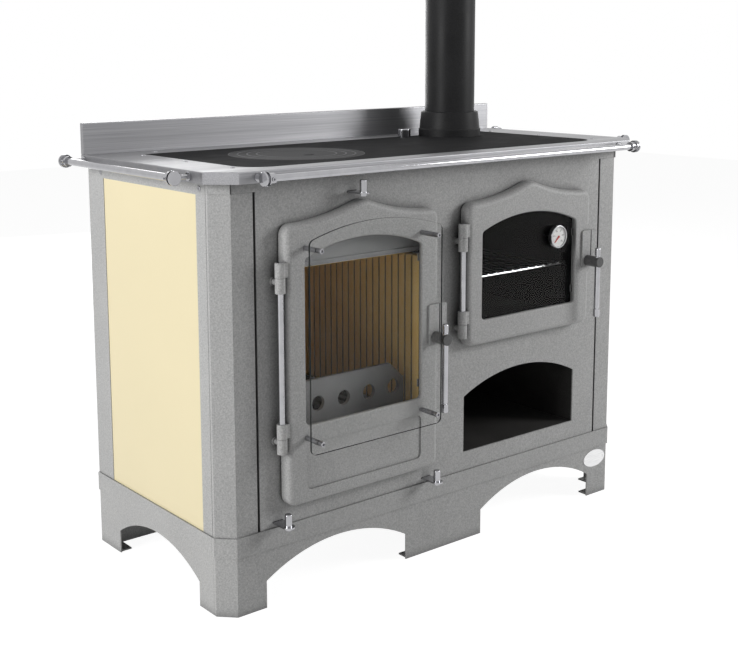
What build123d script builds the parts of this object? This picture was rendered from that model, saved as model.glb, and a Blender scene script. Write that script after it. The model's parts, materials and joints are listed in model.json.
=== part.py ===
from build123d import *
import math
import os

# Wood-burning kitchen stove with an oven, as separate sheet, cast and turned pieces.
# Sizes are millimetres and +Z is up. While modelling, x = 0 is the middle of the body,
# y = 0 its front face and z = 0 the floor. save() moves every piece along y, so that the
# origin ends up under the middle of the whole stove.

os.makedirs("parts", exist_ok=True)

# Body
BODY_WIDTH = 1130.0
BODY_DEPTH = 496.0
BODY_TOP = 833.0
TRAY_TOP = 158.0
SHEET = 3.0
POST_CHAMFER = 30.0
POST_SEAM = 36.5
SEAM_GAP = 1.0
GROOVE_INSET = 81.0
GROOVE_WIDTH = 5.5
GROOVE_DEPTH = 10.0
GROOVE_TOP = 812.0
STRIP_REACH = 16.0
COLLAR_PROUD = 3.0
FIT_GAP = 0.3
HALF_WIDTH = BODY_WIDTH / 2
GROOVE_CENTRE = HALF_WIDTH - GROOVE_INSET
SKIRT_TOP = TRAY_TOP - SHEET
DECK_BOTTOM = BODY_TOP - SHEET

# Skirt and base band
BAND_BOTTOM = 118.0
BAND_PROUD = 3.0
FRONT_ARCH_INNER = 110.0
FRONT_ARCH_OUTER_INSET = 97.0
FRONT_ARCH_OUTER = HALF_WIDTH - FRONT_ARCH_OUTER_INSET
FRONT_ARCH_SPRING = 55.0
FRONT_ARCH_CROWN = 104.0
SIDE_ARCH_FRONT = 89.0
SIDE_ARCH_REAR_INSET = 87.0
SIDE_ARCH_REAR = BODY_DEPTH - SIDE_ARCH_REAR_INSET
SIDE_ARCH_SPRING = 50.0
SIDE_ARCH_CROWN = 98.0
FOOT_WIDTH = 25.0
FOOT_INSET = 4.0
REAR_SKIRT_INSET = 35.0

# Side walls
SIDE_FRAME_SHEET = 4.0
SIDE_BACKING_SHEET = 3.0
CREAM_SHEET = 3.0
CREAM_FRONT = 70.0
CREAM_REAR_INSET = 66.0
CREAM_REAR = BODY_DEPTH - CREAM_REAR_INSET
CREAM_TOP = 808.0
BACKING_LIP = 20.0

# Hob
HOB_OVERHANG = 23.0
HOB_WIDTH = BODY_WIDTH + 2 * HOB_OVERHANG
HOB_FRONT = -39.0
HOB_REAR_INSET = 16.0
HOB_REAR = BODY_DEPTH - HOB_REAR_INSET
HOB_THICKNESS = 22.0
HOB_CHAMFER = 47.0
HOB_EDGE_ROUND = 2.0
PLATE_SIDE_MARGIN = 101.0
PLATE_REAR_MARGIN = 83.0
PLATE_WIDTH = HOB_WIDTH - 2 * PLATE_SIDE_MARGIN
PLATE_FRONT = 8.0
PLATE_REAR = HOB_REAR - PLATE_REAR_MARGIN
PLATE_THICKNESS = 6.0
PLATE_CORNER = 60.0
PLATE_LEDGE = 12.0
PLATE_GAP = 0.4
BACKSPLASH_HEIGHT = 65.0
BACKSPLASH_DEPTH = 12.0
BACKSPLASH_SHEET = 2.0
HOB_TOP = BODY_TOP + HOB_THICKNESS
LEDGE_Z = HOB_TOP - PLATE_THICKNESS

# Hob rings
RING_INSET = 247.0
RING_X = RING_INSET - PLATE_WIDTH / 2
RING_FORWARD = 4.5
RING_Y = (PLATE_FRONT + PLATE_REAR) / 2 - RING_FORWARD
LID_RADIUS = 83.0
RING_STEP = 19.7
RING_COUNT = 3
RING_GAP = 0.5
RING_LIP = 7.0
RING_OVERLAP = 6.0
LIP_THICKNESS = 6.0
LIFT_GAP = 0.1
LIFT_SLOT_LENGTH = 26.0
LIFT_SLOT_WIDTH = 8.0
LIFT_SLOT_DEPTH = 4.0
RINGS_RADIUS = LID_RADIUS + RING_COUNT * RING_STEP

# Flue
FLUE_INSET = 149.0
FLUE_REAR_INSET = 130.0
FLUE_X = PLATE_WIDTH / 2 - FLUE_INSET
FLUE_Y = HOB_REAR - FLUE_REAR_INSET
PIPE_RADIUS = 60.0
PIPE_WALL = 2.0
PIPE_TOP = 1355.0
PIPE_GAP = 0.2
FLUE_HOLE_RADIUS = 56.0
COLLAR_FOOT_RADIUS = 75.5
COLLAR_FOOT_HEIGHT = 18.0
COLLAR_RADIUS = 73.5
COLLAR_TOP_RADIUS = 69.0
COLLAR_HEIGHT = 59.0
HOB_SEAT_DEPTH = 1.0
HOB_SEAT = HOB_TOP - HOB_SEAT_DEPTH

# Flue damper
DAMPER_ASIDE = 123.0
DAMPER_BEHIND = 28.0
DAMPER_X = FLUE_X - DAMPER_ASIDE
DAMPER_Y = FLUE_Y + DAMPER_BEHIND
DAMPER_KNOB_RADIUS = 15.5
DAMPER_KNOB_HEIGHT = 20.0
DAMPER_SHAFT_RADIUS = 5.0
DAMPER_DISC_RADIUS = 60.0
DAMPER_DISC_SHEET = 3.0
DAMPER_DISC_GAP = 1.0
DAMPER_ARM_WIDTH = 24.0
RUNNING_GAP = 0.06

# Rails
RAIL_RADIUS = 7.0
RAIL_WALL = 1.5
RAIL_OFFSET = 38.0
RAIL_Z = 844.0
FRONT_RAIL_INSET = 72.0
FRONT_RAIL_REACH = HOB_WIDTH / 2 - FRONT_RAIL_INSET
SIDE_RAIL_FRONT = 38.0
SIDE_RAIL_PROUD = 2.0
SIDE_RAIL_REAR = HOB_REAR + SIDE_RAIL_PROUD
RAIL_CAP_RADIUS = 13.5
RAIL_CAP_THICKNESS = 4.0
RAIL_NECK_RADIUS = 9.0
RAIL_COLLAR_RADIUS = 10.5
RAIL_COLLAR_LENGTH = 15.0
RAIL_SCREW_RADIUS = 4.0
RAIL_SCREW_PROUD = 3.0
RAIL_POST_RADIUS = 4.5
RAIL_FLANGE_RADIUS = 8.5
RAIL_FLANGE_THICKNESS = 3.0
RAIL_GAP = 0.02

# Small screws
SCREW_HEAD_RADIUS = 5.0
SCREW_HEAD_HEIGHT = 1.5
SCREW_SHANK_RADIUS = 2.0
SCREW_SHANK_LENGTH = 3.5
SCREW_GAP = 0.05
HOB_SCREW_INSET = 85.0
HOB_SCREW_X = HOB_WIDTH / 2 - HOB_SCREW_INSET
HOB_SCREW_FIRST_Y = 40.0
HOB_SCREW_REAR_INSET = 109.0
HOB_SCREW_REAR_Y = HOB_REAR - HOB_SCREW_REAR_INSET
HOB_SCREW_PITCH = (HOB_SCREW_REAR_Y - HOB_SCREW_FIRST_Y) / 2
REAR_SCREW_INSET = 148.0
REAR_SCREW_MARGIN = 50.0
REAR_SCREW_X = HOB_WIDTH / 2 - REAR_SCREW_INSET
REAR_SCREW_Y = HOB_REAR - REAR_SCREW_MARGIN
SIDE_SCREW_Z = 820.0
SIDE_SCREW_FRONT_Y = 57.0
SIDE_SCREW_REAR_INSET = 56.0
SIDE_SCREW_REAR_Y = BODY_DEPTH - SIDE_SCREW_REAR_INSET

# Doors
DOOR_SIDE_MARGIN = 137.0
DOOR_SPACING = 84.0
DOOR_SHIFT = 5.0
DOOR_STILE = 45.5
DOOR_WIDTH = (BODY_WIDTH - DOOR_SPACING) / 2 - DOOR_SIDE_MARGIN
WINDOW_WIDTH = DOOR_WIDTH - 2 * DOOR_STILE
DOOR_THICKNESS = 25.0
DOOR_GAP = 4.0
DOOR_HEADROOM = 84.5
DOOR_PEAK_RISE = 35.5
DOOR_SHOULDER = BODY_TOP - DOOR_HEADROOM
DOOR_PEAK = DOOR_SHOULDER + DOOR_PEAK_RISE
DOOR_LEVEL_LENGTH = 33.0
DOOR_CURVE_START = DOOR_WIDTH / 2 - DOOR_LEVEL_LENGTH
DOOR_CURVE_RADIUS = 500.0
DOOR_CORNER = 22.0
DOOR_PEAK_ROUND = 45.0
DOOR_EDGE_ROUND = 12.0
DOOR_FRONT_WALL = 8.0
DOOR_POCKET_MARGIN = 15.5
DOOR_POCKET_HALF = WINDOW_WIDTH / 2 + DOOR_POCKET_MARGIN
DOOR_POCKET_FOOT = 30.0
DOOR_POCKET_DROP = 18.5
DOOR_POCKET_TOP = DOOR_SHOULDER - DOOR_POCKET_DROP
FIRE_DOOR_X = -(DOOR_WIDTH + DOOR_SPACING) / 2 - DOOR_SHIFT
FIRE_DOOR_BOTTOM = 200.0
OVEN_DOOR_X = FIRE_DOOR_X + DOOR_WIDTH + DOOR_SPACING
OVEN_DOOR_BOTTOM = 440.0
WINDOW_CORNER = 10.0
WINDOW_EDGE = 3.0
FIRE_WINDOW_SHIFT = 2.5
FIRE_WINDOW_X = FIRE_DOOR_X - FIRE_WINDOW_SHIFT
FIRE_WINDOW_BOTTOM = 356.0
FIRE_WINDOW_DROP = 68.5
FIRE_WINDOW_RISE = 30.0
FIRE_WINDOW_SIDE = DOOR_SHOULDER - FIRE_WINDOW_DROP
FIRE_WINDOW_CROWN = FIRE_WINDOW_SIDE + FIRE_WINDOW_RISE
OVEN_WINDOW_SHIFT = 4.0
OVEN_WINDOW_X = OVEN_DOOR_X - OVEN_WINDOW_SHIFT
OVEN_WINDOW_BOTTOM = 494.0
OVEN_WINDOW_DROP = 64.5
OVEN_WINDOW_RISE = 30.5
OVEN_WINDOW_SIDE = DOOR_SHOULDER - OVEN_WINDOW_DROP
OVEN_WINDOW_CROWN = OVEN_WINDOW_SIDE + OVEN_WINDOW_RISE
FIELD_BOTTOM = 228.0
FIELD_TOP = 321.0
FIELD_CORNER = 12.0
FIELD_DEPTH = 3.0
DOOR_GLASS = 4.0
GLASS_OVERLAP = 4.0
CLIP_THICKNESS = 3.0
CLIP_WIDTH = 16.0
CLIP_REACH = 4.0
CLIP_STUD_RADIUS = 2.5
CLIP_STUD_OFFSET = 3.8
DOOR_BACK = -DOOR_GAP
DOOR_FRONT = DOOR_BACK - DOOR_THICKNESS
POCKET_FACE = DOOR_FRONT + DOOR_FRONT_WALL

# Openings in the front panel and the door seals around them
OPENING_MARGIN = 3.0
OPENING_HALF = DOOR_POCKET_HALF + OPENING_MARGIN
OPENING_FOOT = 22.0
OPENING_DROP = 21.5
OPENING_TOP = DOOR_SHOULDER - OPENING_DROP
SEAL_MARGIN = 5.0
SEAL_WIDTH = 8.0
SEAL_GROOVE = 2.0
SEAL_CLEAR = 0.3
SEAL_CORNER = 10.0

# Hinges
HINGE_OFFSET = 10.0
HINGE_Y = -22.0
BARREL_RADIUS = 10.0
BARREL_HEIGHT = 58.0
BARREL_SPLIT = 29.0
BARREL_PLAY = 0.6
HINGE_ROD_RADIUS = 6.5
HINGE_ROD_PROUD = 1.0
ROD_SEAT_GAP = 0.03
STUD_RADIUS = 6.0
STUD_RISE = 20.0
STUD_FLANGE_RADIUS = 8.5
STUD_FLANGE = 3.0
LEAF_REACH = 22.0
LEAF_THICKNESS = 10.0
LEAF_TRIM = 1.0
FIRE_HINGE_LOW = 311.0
FIRE_HINGE_HIGH = 621.0
OVEN_HINGE_LOW = 462.0
OVEN_HINGE_HIGH = 648.0

# Door handles
LATCH_WIDTH = 49.0
LATCH_HEIGHT = 84.0
LATCH_PLATE = 4.0
LATCH_OVERHANG = 18.5
LATCH_CORNER = 4.0
LATCH_GROOVE_INSET = 27.0
LATCH_GROOVE_WIDTH = 3.0
LATCH_GROOVE_DEPTH = 3.0
LATCH_NOTCH = 27.0
LATCH_NOTCH_BACK = -10.0
LATCH_HOUSING_GAP = 0.2
LAND_MARGIN = 12.0
FIRE_LATCH_BOTTOM = 466.0
OVEN_LATCH_BOTTOM = 572.0
HANDLE_AXIS_INSET = 13.5
HANDLE_AXIS_RISE = 15.0
KNOB_RADIUS = 12.0
KNOB_LENGTH = 38.0
HANDLE_SHAFT_RADIUS = 6.0
HANDLE_SHAFT_LENGTH = 18.0
BAR_RADIUS = 6.5
BAR_INSET = 8.0
BAR_RISE = 33.0
BAR_GAP = 0.02
BAR_END_ROUND = 4.0
FERRULE_RADIUS = 7.5
FERRULE_LENGTH = 18.0
BAR_NECK_RADIUS = 5.0
BAR_NECK_LENGTH = 2.5
FIRE_BAR_DROP = 154.0
OVEN_BAR_DROP = 126.0

# Screen glass on the fire door
SCREEN_MARGIN = 18.5
SCREEN_SHIFT = 3.0
SCREEN_WIDTH = WINDOW_WIDTH + 2 * SCREEN_MARGIN
SCREEN_X = FIRE_DOOR_X - SCREEN_SHIFT
SCREEN_BOTTOM = 311.0
SCREEN_DROP = 28.5
SCREEN_RISE = 28.0
SCREEN_SIDE = DOOR_SHOULDER - SCREEN_DROP
SCREEN_CROWN = SCREEN_SIDE + SCREEN_RISE
SCREEN_GLASS = 4.0
SCREEN_CORNER = 12.0
SCREEN_STANDOFF = 37.0
SCREEN_POST_INSET = 19.0
SCREEN_POST_HALF = SCREEN_WIDTH / 2 - SCREEN_POST_INSET
SCREEN_POST_LOW = 333.0
SCREEN_POST_DROP = 18.0
SCREEN_POST_HIGH = SCREEN_SIDE - SCREEN_POST_DROP
SCREEN_POST_RADIUS = 5.0
SCREEN_PIN_RADIUS = 3.5
SCREEN_PIN_GAP = 0.2
SCREEN_HEAD_LENGTH = 12.0
SCREEN_SOCKET_RADIUS = 2.5
SCREEN_SOCKET_DEPTH = 4.0

# Oven thermometer
DIAL_SIDE_INSET = 63.5
DIAL_DROP = 32.4
DIAL_X = OVEN_WINDOW_X + WINDOW_WIDTH / 2 - DIAL_SIDE_INSET
DIAL_Z = OVEN_WINDOW_SIDE - DIAL_DROP
DIAL_RADIUS = 25.5
DIAL_FRONT = -36.0
DIAL_BEZEL = 10.0
DIAL_RIM = 3.0
DIAL_RECESS = 3.0
DIAL_HUB_RADIUS = 12.0
DIAL_STEM_RADIUS = 4.0
DIAL_STEM_REACH = 30.0
NEEDLE_LENGTH = 17.5
NEEDLE_ROOT = 4.4
NEEDLE_TIP = 1.2
NEEDLE_SHEET = 0.6
NEEDLE_LIFT = 0.8
NEEDLE_HUB_RADIUS = 2.5
NEEDLE_PIN_RADIUS = 1.2
NEEDLE_REST_ANGLE = 135.0

# Firebox
FIREBOX_MARGIN = 24.0
FIREBOX_BOTTOM = 200.0
FIREBOX_REAR_MARGIN = 56.0
FIREBOX_DEPTH = BODY_DEPTH - FIREBOX_REAR_MARGIN
BOX_SHEET = 4.0
LINING_THICKNESS = 24.0
LINING_FRONT = 5.0
LINING_TOP = 646.0
RIB_PITCH = 21.0
RIB_GROOVE = 5.0
RIB_GROOVE_DEPTH = 8.0
RIB_FIRST_Y = 91.0
RIB_REAR_MARGIN = 55.0
BAFFLE_FRONT = 55.0
BAFFLE_THICKNESS = 22.0
DEFLECTOR_Y = 10.0
DEFLECTOR_SHEET = 3.0
DEFLECTOR_BOTTOM = 657.5
DEFLECTOR_HEIGHT = 98.0
DEFLECTOR_HEM = 5.0
DEFLECTOR_HEM_PROUD = 3.0
GRATE_BOTTOM = 300.0
GRATE_THICKNESS = 12.0
GRATE_LEDGE = 45.0
GRATE_LEDGE_SHEET = 8.0
GRATE_SLOT = 14.0
GRATE_SLOT_PITCH = 26.0
GRATE_SIDE_BORDER = 30.0
GRATE_BORDER = 40.0
RETAINER_Y = 46.0
RETAINER_THICKNESS = 8.0
RETAINER_TOP = 418.5
RETAINER_CHAMFER_WIDTH = 37.0
RETAINER_CHAMFER_DROP = 34.0
RETAINER_SIDE_GAP = 6.5
RETAINER_HOLE_RADIUS = 15.5
RETAINER_HOLE_Z = 368.0
RETAINER_HOLE_PITCH = 66.0
RETAINER_END_MARGIN = 25.0
ASH_PAN_WIDTH = 300.0
ASH_PAN_FRONT = 20.0
ASH_PAN_REAR_GAP = 40.0
ASH_PAN_REAR = FIREBOX_DEPTH - ASH_PAN_REAR_GAP
ASH_PAN_HEIGHT = 76.0
ASH_PAN_SHEET = 2.0
ASH_PAN_GRIP = 14.0

# Oven, smoke duct and wood store
OVEN_SHEET = 3.0
OVEN_REAR_MARGIN = 69.0
OVEN_REAR = BODY_DEPTH - OVEN_REAR_MARGIN
RACK_Z = 576.0
RACK_WIRE = 3.0
RACK_ROD = 2.0
RACK_PITCH = 25.2
RACK_END_MARGIN = 24.0
RACK_SIDE_GAP = 3.0
RACK_FRONT = 22.0
RACK_REAR_GAP = 12.0
RACK_REAR = OVEN_REAR - RACK_REAR_GAP
RACK_SUNK = 1.0
RACK_ROD_PROUD = 5.0
RUNNER_WIDTH = 12.0
RUNNER_SHEET = 3.0
DUCT_SIDE_MARGIN = 110.0
DUCT_RIGHT = HALF_WIDTH - DUCT_SIDE_MARGIN
STORE_LEFT_REACH = 175.0
STORE_RIGHT_REACH = 178.0
STORE_LEFT = OVEN_DOOR_X - STORE_LEFT_REACH
STORE_RIGHT = OVEN_DOOR_X + STORE_RIGHT_REACH
STORE_BOTTOM = 199.5
STORE_SIDE = 324.0
STORE_CROWN = 366.0
STORE_CEILING = 372.0
STORE_REAR = OVEN_REAR
OVAL_INSET = 74.0
OVAL_X = HALF_WIDTH - OVAL_INSET
OVAL_Z = 90.0
OVAL_WIDTH = 75.0
OVAL_HEIGHT = 41.0
OVAL_SHEET = 1.5
OVAL_RIVET_HALF = 32.0
OVAL_RIVET_RADIUS = 2.5
OVAL_RIVET_PROUD = 1.0

# Air controls
SLIDE_WIDTH = 24.0
SLIDE_SHEET = 3.0
SLIDE_TIP = -48.0
SLIDE_TAIL = 60.0
SLIDE_TAIL_WIDTH = 36.0
SLIDE_TAIL_LENGTH = 27.0
SLIDE_SLOT_GAP = 0.5
SLIDE_KNOB_RADIUS = 7.25
SLIDE_KNOB_HEIGHT = 24.0
SLIDE_KNOB_ROUND = 2.0
SLIDE_KNOB_Y = -35.0
SLIDE_NUT_RADIUS = 6.0
SLIDE_NUT_HEIGHT = 5.0
LOW_SLIDE_TOP = 170.0
HIGH_SLIDE_TOP = 797.0
SLIDE_SIDE_INSET = 44.0
SLIDE_ASIDE = 8.0
TOP_SLIDE_ASIDE = 13.0
LEFT_SLIDE_X = SLIDE_SIDE_INSET - GROOVE_CENTRE
RIGHT_SLIDE_X = FIRE_DOOR_X + DOOR_WIDTH / 2 - SLIDE_ASIDE
TOP_SLIDE_X = FIRE_DOOR_X - TOP_SLIDE_ASIDE

# The stove reaches from the front rail's caps to the body's back; this centres it on y = 0.
FRONT_RAIL_Y = HOB_FRONT - RAIL_OFFSET
CENTRE_SHIFT = -(FRONT_RAIL_Y - RAIL_CAP_RADIUS + BODY_DEPTH) / 2


# ---------------------------------------------------------------- helpers

def save(name, *shapes):
    """Centre the given shapes along y and write their solids as one named file."""
    solids = [solid for shape in shapes for solid in shape.solids()]
    moved = [Pos(0, CENTRE_SHIFT, 0) * solid for solid in solids]
    export_step(Compound(children=moved), "parts/" + name + ".step")


def block(x0, x1, y0, y1, z0, z1):
    """Rectangular block between two corners."""
    middle = Pos((x0 + x1) / 2, (y0 + y1) / 2, (z0 + z1) / 2)
    return middle * Box(abs(x1 - x0), abs(y1 - y0), abs(z1 - z0))


def side_block(side, near, far, y0, y1, z0, z1):
    """Block between two distances from the middle plane, on the side given by 1 or -1."""
    return block(side * near, side * far, y0, y1, z0, z1)


def rod_x(x0, x1, y, z, radius):
    """Round rod along x."""
    return Pos((x0 + x1) / 2, y, z) * Rot(0, 90, 0) * Cylinder(radius, abs(x1 - x0))


def rod_y(x, y0, y1, z, radius):
    """Round rod along y."""
    return Pos(x, (y0 + y1) / 2, z) * Rot(90, 0, 0) * Cylinder(radius, abs(y1 - y0))


def rod_z(x, y, z0, z1, radius):
    """Round rod along z."""
    return Pos(x, y, (z0 + z1) / 2) * Cylinder(radius, abs(z1 - z0))


def prism(points, z0, z1):
    """Upright prism over an outline drawn in x and y."""
    face = Pos(0, 0, z0) * Polygon(*points, align=None)
    return extrude(face, amount=z1 - z0, dir=(0, 0, 1))


def through_y(face, y0, y1):
    """Prism of a face drawn in x and z, from y0 back to y1."""
    return extrude(Plane.XZ.offset(-y1) * face, amount=y1 - y0, dir=(0, -1, 0))


def through_x(face, x0, x1):
    """Prism of a face drawn in y and z, from x0 right to x1."""
    return extrude(Plane.YZ.offset(x0) * face, amount=x1 - x0, dir=(1, 0, 0))


def arch_face(left, right, bottom, spring, crown):
    """Face with a flat foot, upright sides and an arched top."""
    outline = Polyline((left, spring), (left, bottom), (right, bottom), (right, spring))
    outline += ThreePointArc((left, spring), ((left + right) / 2, crown), (right, spring))
    return make_face(outline.edges())


def rounded_arch(left, right, bottom, spring, crown, radius):
    """Arched face with every corner rounded."""
    face = arch_face(left, right, bottom, spring, crown)
    return fillet(face.vertices(), radius)


def rounded_rectangle(left, right, bottom, top, radius):
    """Upright rectangle with rounded corners."""
    middle = Pos((left + right) / 2, (bottom + top) / 2)
    return middle * RectangleRounded(right - left, top - bottom, radius)


def open_box(x0, x1, y0, y1, z0, z1, sheet):
    """Five welded plates around a space that is open to the front."""
    return [
        block(x0 - sheet, x0, y0, y1, z0, z1),
        block(x1, x1 + sheet, y0, y1, z0, z1),
        block(x0 - sheet, x1 + sheet, y0, y1, z0 - sheet, z0),
        block(x0 - sheet, x1 + sheet, y0, y1, z1, z1 + sheet),
        block(x0 - sheet, x1 + sheet, y1, y1 + sheet, z0 - sheet, z1 + sheet),
    ]


# ---------------------------------------------------------------- body sheet metal

def fold_line(inset):
    """Right half of the body's front outline moved inwards, from the seam to the front."""
    turn = inset * (math.sqrt(2) - 1)
    return [
        (HALF_WIDTH - inset, POST_SEAM),
        (HALF_WIDTH - inset, POST_CHAMFER + turn),
        (HALF_WIDTH - POST_CHAMFER - turn, inset),
    ]


def mirrored(points):
    """The same points on the other side of the middle plane, in reverse order."""
    return [(-x, y) for x, y in reversed(points)]


def folded_sheet(outer, inner, z0, z1):
    """Sheet folded round the front and both chamfered corners."""
    outside = fold_line(outer)
    inside = fold_line(inner)
    outline = outside + mirrored(outside) + [(-x, y) for x, y in inside] + inside[::-1]
    return prism(outline, z0, z1)


def skirt_front():
    """Front skirt with two arches, three legs and folded feet."""
    skirt = folded_sheet(0, SHEET, 0, SKIRT_TOP)
    for side in (-1, 1):
        left, right = sorted((side * FRONT_ARCH_INNER, side * FRONT_ARCH_OUTER))
        arch = arch_face(left, right, -SHEET, FRONT_ARCH_SPRING, FRONT_ARCH_CROWN)
        skirt -= through_y(arch, -SHEET, 2 * SHEET)
        outer_foot = HALF_WIDTH - POST_CHAMFER - FOOT_INSET
        inner_foot = FRONT_ARCH_OUTER + FOOT_INSET
        skirt += side_block(side, inner_foot, outer_foot, SHEET, SHEET + FOOT_WIDTH, 0, SHEET)
    middle_foot = FRONT_ARCH_INNER - FOOT_INSET
    skirt += block(-middle_foot, middle_foot, SHEET, SHEET + FOOT_WIDTH, 0, SHEET)
    return skirt


def skirt_side(side):
    """Side skirt with one arch and two folded feet."""
    start = POST_SEAM + FIT_GAP
    inner = HALF_WIDTH - SHEET
    skirt = side_block(side, inner, HALF_WIDTH, start, BODY_DEPTH, 0, SKIRT_TOP)
    arch = arch_face(SIDE_ARCH_FRONT, SIDE_ARCH_REAR, -SHEET, SIDE_ARCH_SPRING, SIDE_ARCH_CROWN)
    left, right = sorted((side * (inner - SHEET), side * (HALF_WIDTH + SHEET)))
    skirt -= through_x(arch, left, right)
    front_foot = (start + FOOT_INSET, SIDE_ARCH_FRONT - FOOT_INSET)
    rear_foot = (SIDE_ARCH_REAR + FOOT_INSET, BODY_DEPTH - REAR_SKIRT_INSET - SHEET - FIT_GAP)
    for y0, y1 in (front_foot, rear_foot):
        skirt += side_block(side, inner - FOOT_WIDTH, inner, y0, y1, 0, SHEET)
    return skirt


def skirt_rear():
    """Plain rear panel under the body."""
    reach = HALF_WIDTH - SHEET
    rear = BODY_DEPTH - REAR_SKIRT_INSET
    return block(-reach, reach, rear - SHEET, rear, 0, SKIRT_TOP)


def base_band():
    """Raised band round the skirt: one folded front piece and two sides."""
    front = folded_sheet(-BAND_PROUD, 0, BAND_BOTTOM, TRAY_TOP)
    start = POST_SEAM + FIT_GAP
    outer = HALF_WIDTH + BAND_PROUD
    sides = [side_block(side, HALF_WIDTH, outer, start, BODY_DEPTH, BAND_BOTTOM, TRAY_TOP)
             for side in (-1, 1)]
    return [front] + sides


def base_tray():
    """Floor of the body, lying on the skirts."""
    front = fold_line(0)
    outline = front + mirrored(front) + [(-HALF_WIDTH, BODY_DEPTH), (HALF_WIDTH, BODY_DEPTH)]
    return prism(outline, SKIRT_TOP, TRAY_TOP)


def corner_post(side):
    """Folded corner post: front return, chamfer, side return and jointing strip."""
    edge = GROOVE_CENTRE + GROOVE_WIDTH / 2
    outside = fold_line(0)
    inside = fold_line(SHEET)
    tongue_end = GROOVE_CENTRE - STRIP_REACH
    strip = [
        (edge + SHEET, SHEET),
        (edge + SHEET, GROOVE_DEPTH + SHEET),
        (tongue_end, GROOVE_DEPTH + SHEET),
        (tongue_end, GROOVE_DEPTH),
        (edge, GROOVE_DEPTH),
        (edge, 0),
    ]
    lower = [(side * x, y) for x, y in outside[::-1] + inside]
    full = [(side * x, y) for x, y in strip + outside[::-1] + inside]
    post = prism(full, TRAY_TOP, GROOVE_TOP - FIT_GAP)
    post += prism(lower, TRAY_TOP, BODY_TOP)
    proud = COLLAR_PROUD / math.sqrt(2)
    face = outside[1:]
    raised = [(x + proud, y - proud) for x, y in face]
    collar = [(side * x, y) for x, y in face + raised[::-1]]
    return post + prism(collar, GROOVE_TOP, BODY_TOP)


def opening_bounds(door_x, door_bottom):
    """Left, right, bottom and top of the panel opening behind a door."""
    return (door_x - OPENING_HALF, door_x + OPENING_HALF, door_bottom + OPENING_FOOT, OPENING_TOP)


def slide_slot(x, top):
    """Cutter for the slot that an air control runs in."""
    half = SLIDE_WIDTH / 2 + SLIDE_SLOT_GAP
    low = top - SLIDE_SHEET - SLIDE_SLOT_GAP
    return block(x - half, x + half, -SHEET, 2 * SHEET, low, top + SLIDE_SLOT_GAP)


def front_panel():
    """Front sheet with folded edges and the openings for fire, oven, wood and air."""
    edge = GROOVE_CENTRE - GROOVE_WIDTH / 2
    panel = block(-edge, edge, 0, SHEET, TRAY_TOP, BODY_TOP)
    ear = fold_line(SHEET)[-1][0] - FIT_GAP
    panel += block(-ear, ear, 0, SHEET, GROOVE_TOP, BODY_TOP)
    for side in (-1, 1):
        fold_top = GROOVE_TOP - FIT_GAP
        panel += side_block(side, edge - SHEET, edge, SHEET, GROOVE_DEPTH, TRAY_TOP, fold_top)
    for door_x, bottom in ((FIRE_DOOR_X, FIRE_DOOR_BOTTOM), (OVEN_DOOR_X, OVEN_DOOR_BOTTOM)):
        left, right, low, high = opening_bounds(door_x, bottom)
        panel -= block(left, right, -SHEET, 2 * SHEET, low, high)
    niche = arch_face(STORE_LEFT, STORE_RIGHT, STORE_BOTTOM, STORE_SIDE, STORE_CROWN)
    panel -= through_y(niche, -SHEET, 2 * SHEET)
    panel -= slide_slot(LEFT_SLIDE_X, LOW_SLIDE_TOP)
    panel -= slide_slot(RIGHT_SLIDE_X, LOW_SLIDE_TOP)
    panel -= slide_slot(TOP_SLIDE_X, HIGH_SLIDE_TOP)
    return panel


def side_screw_places(side):
    """Places and outward direction of the small screws in a side frame."""
    return [(side * HALF_WIDTH, y, SIDE_SCREW_Z) for y in (SIDE_SCREW_FRONT_Y, SIDE_SCREW_REAR_Y)]


def side_frame(side):
    """Side wall: a frame with a backing sheet that carries the cream panel."""
    start = POST_SEAM + SEAM_GAP
    face = HALF_WIDTH - SIDE_FRAME_SHEET
    inner = face - SIDE_BACKING_SHEET
    frame = side_block(side, face, HALF_WIDTH, start, BODY_DEPTH, TRAY_TOP, BODY_TOP)
    frame -= side_block(side, inner, HALF_WIDTH + SHEET, CREAM_FRONT, CREAM_REAR, 0, CREAM_TOP)
    back = side_block(side, inner, face, start + BACKING_LIP, BODY_DEPTH - BACKING_LIP,
                      TRAY_TOP, DECK_BOTTOM)
    back -= side_block(side, inner - SHEET, face + SHEET, CREAM_FRONT + BACKING_LIP,
                       CREAM_REAR - BACKING_LIP, TRAY_TOP + BACKING_LIP, CREAM_TOP - BACKING_LIP)
    frame += back
    for x, y, z in side_screw_places(side):
        frame -= rod_x(x - side * SIDE_FRAME_SHEET, x + side, y, z, SCREW_SHANK_RADIUS + SCREW_GAP)
    return frame


def cream_panel(side):
    """Enamelled panel set in a side frame, a little below its face."""
    inner = HALF_WIDTH - SIDE_FRAME_SHEET
    panel = side_block(side, inner, inner + CREAM_SHEET, CREAM_FRONT + FIT_GAP,
                       CREAM_REAR - FIT_GAP, TRAY_TOP, CREAM_TOP - FIT_GAP)
    return panel


def back_panel():
    """Rear sheet between the side frames."""
    reach = HALF_WIDTH - SIDE_FRAME_SHEET
    return block(-reach, reach, BODY_DEPTH - SHEET, BODY_DEPTH, TRAY_TOP, DECK_BOTTOM)


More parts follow.
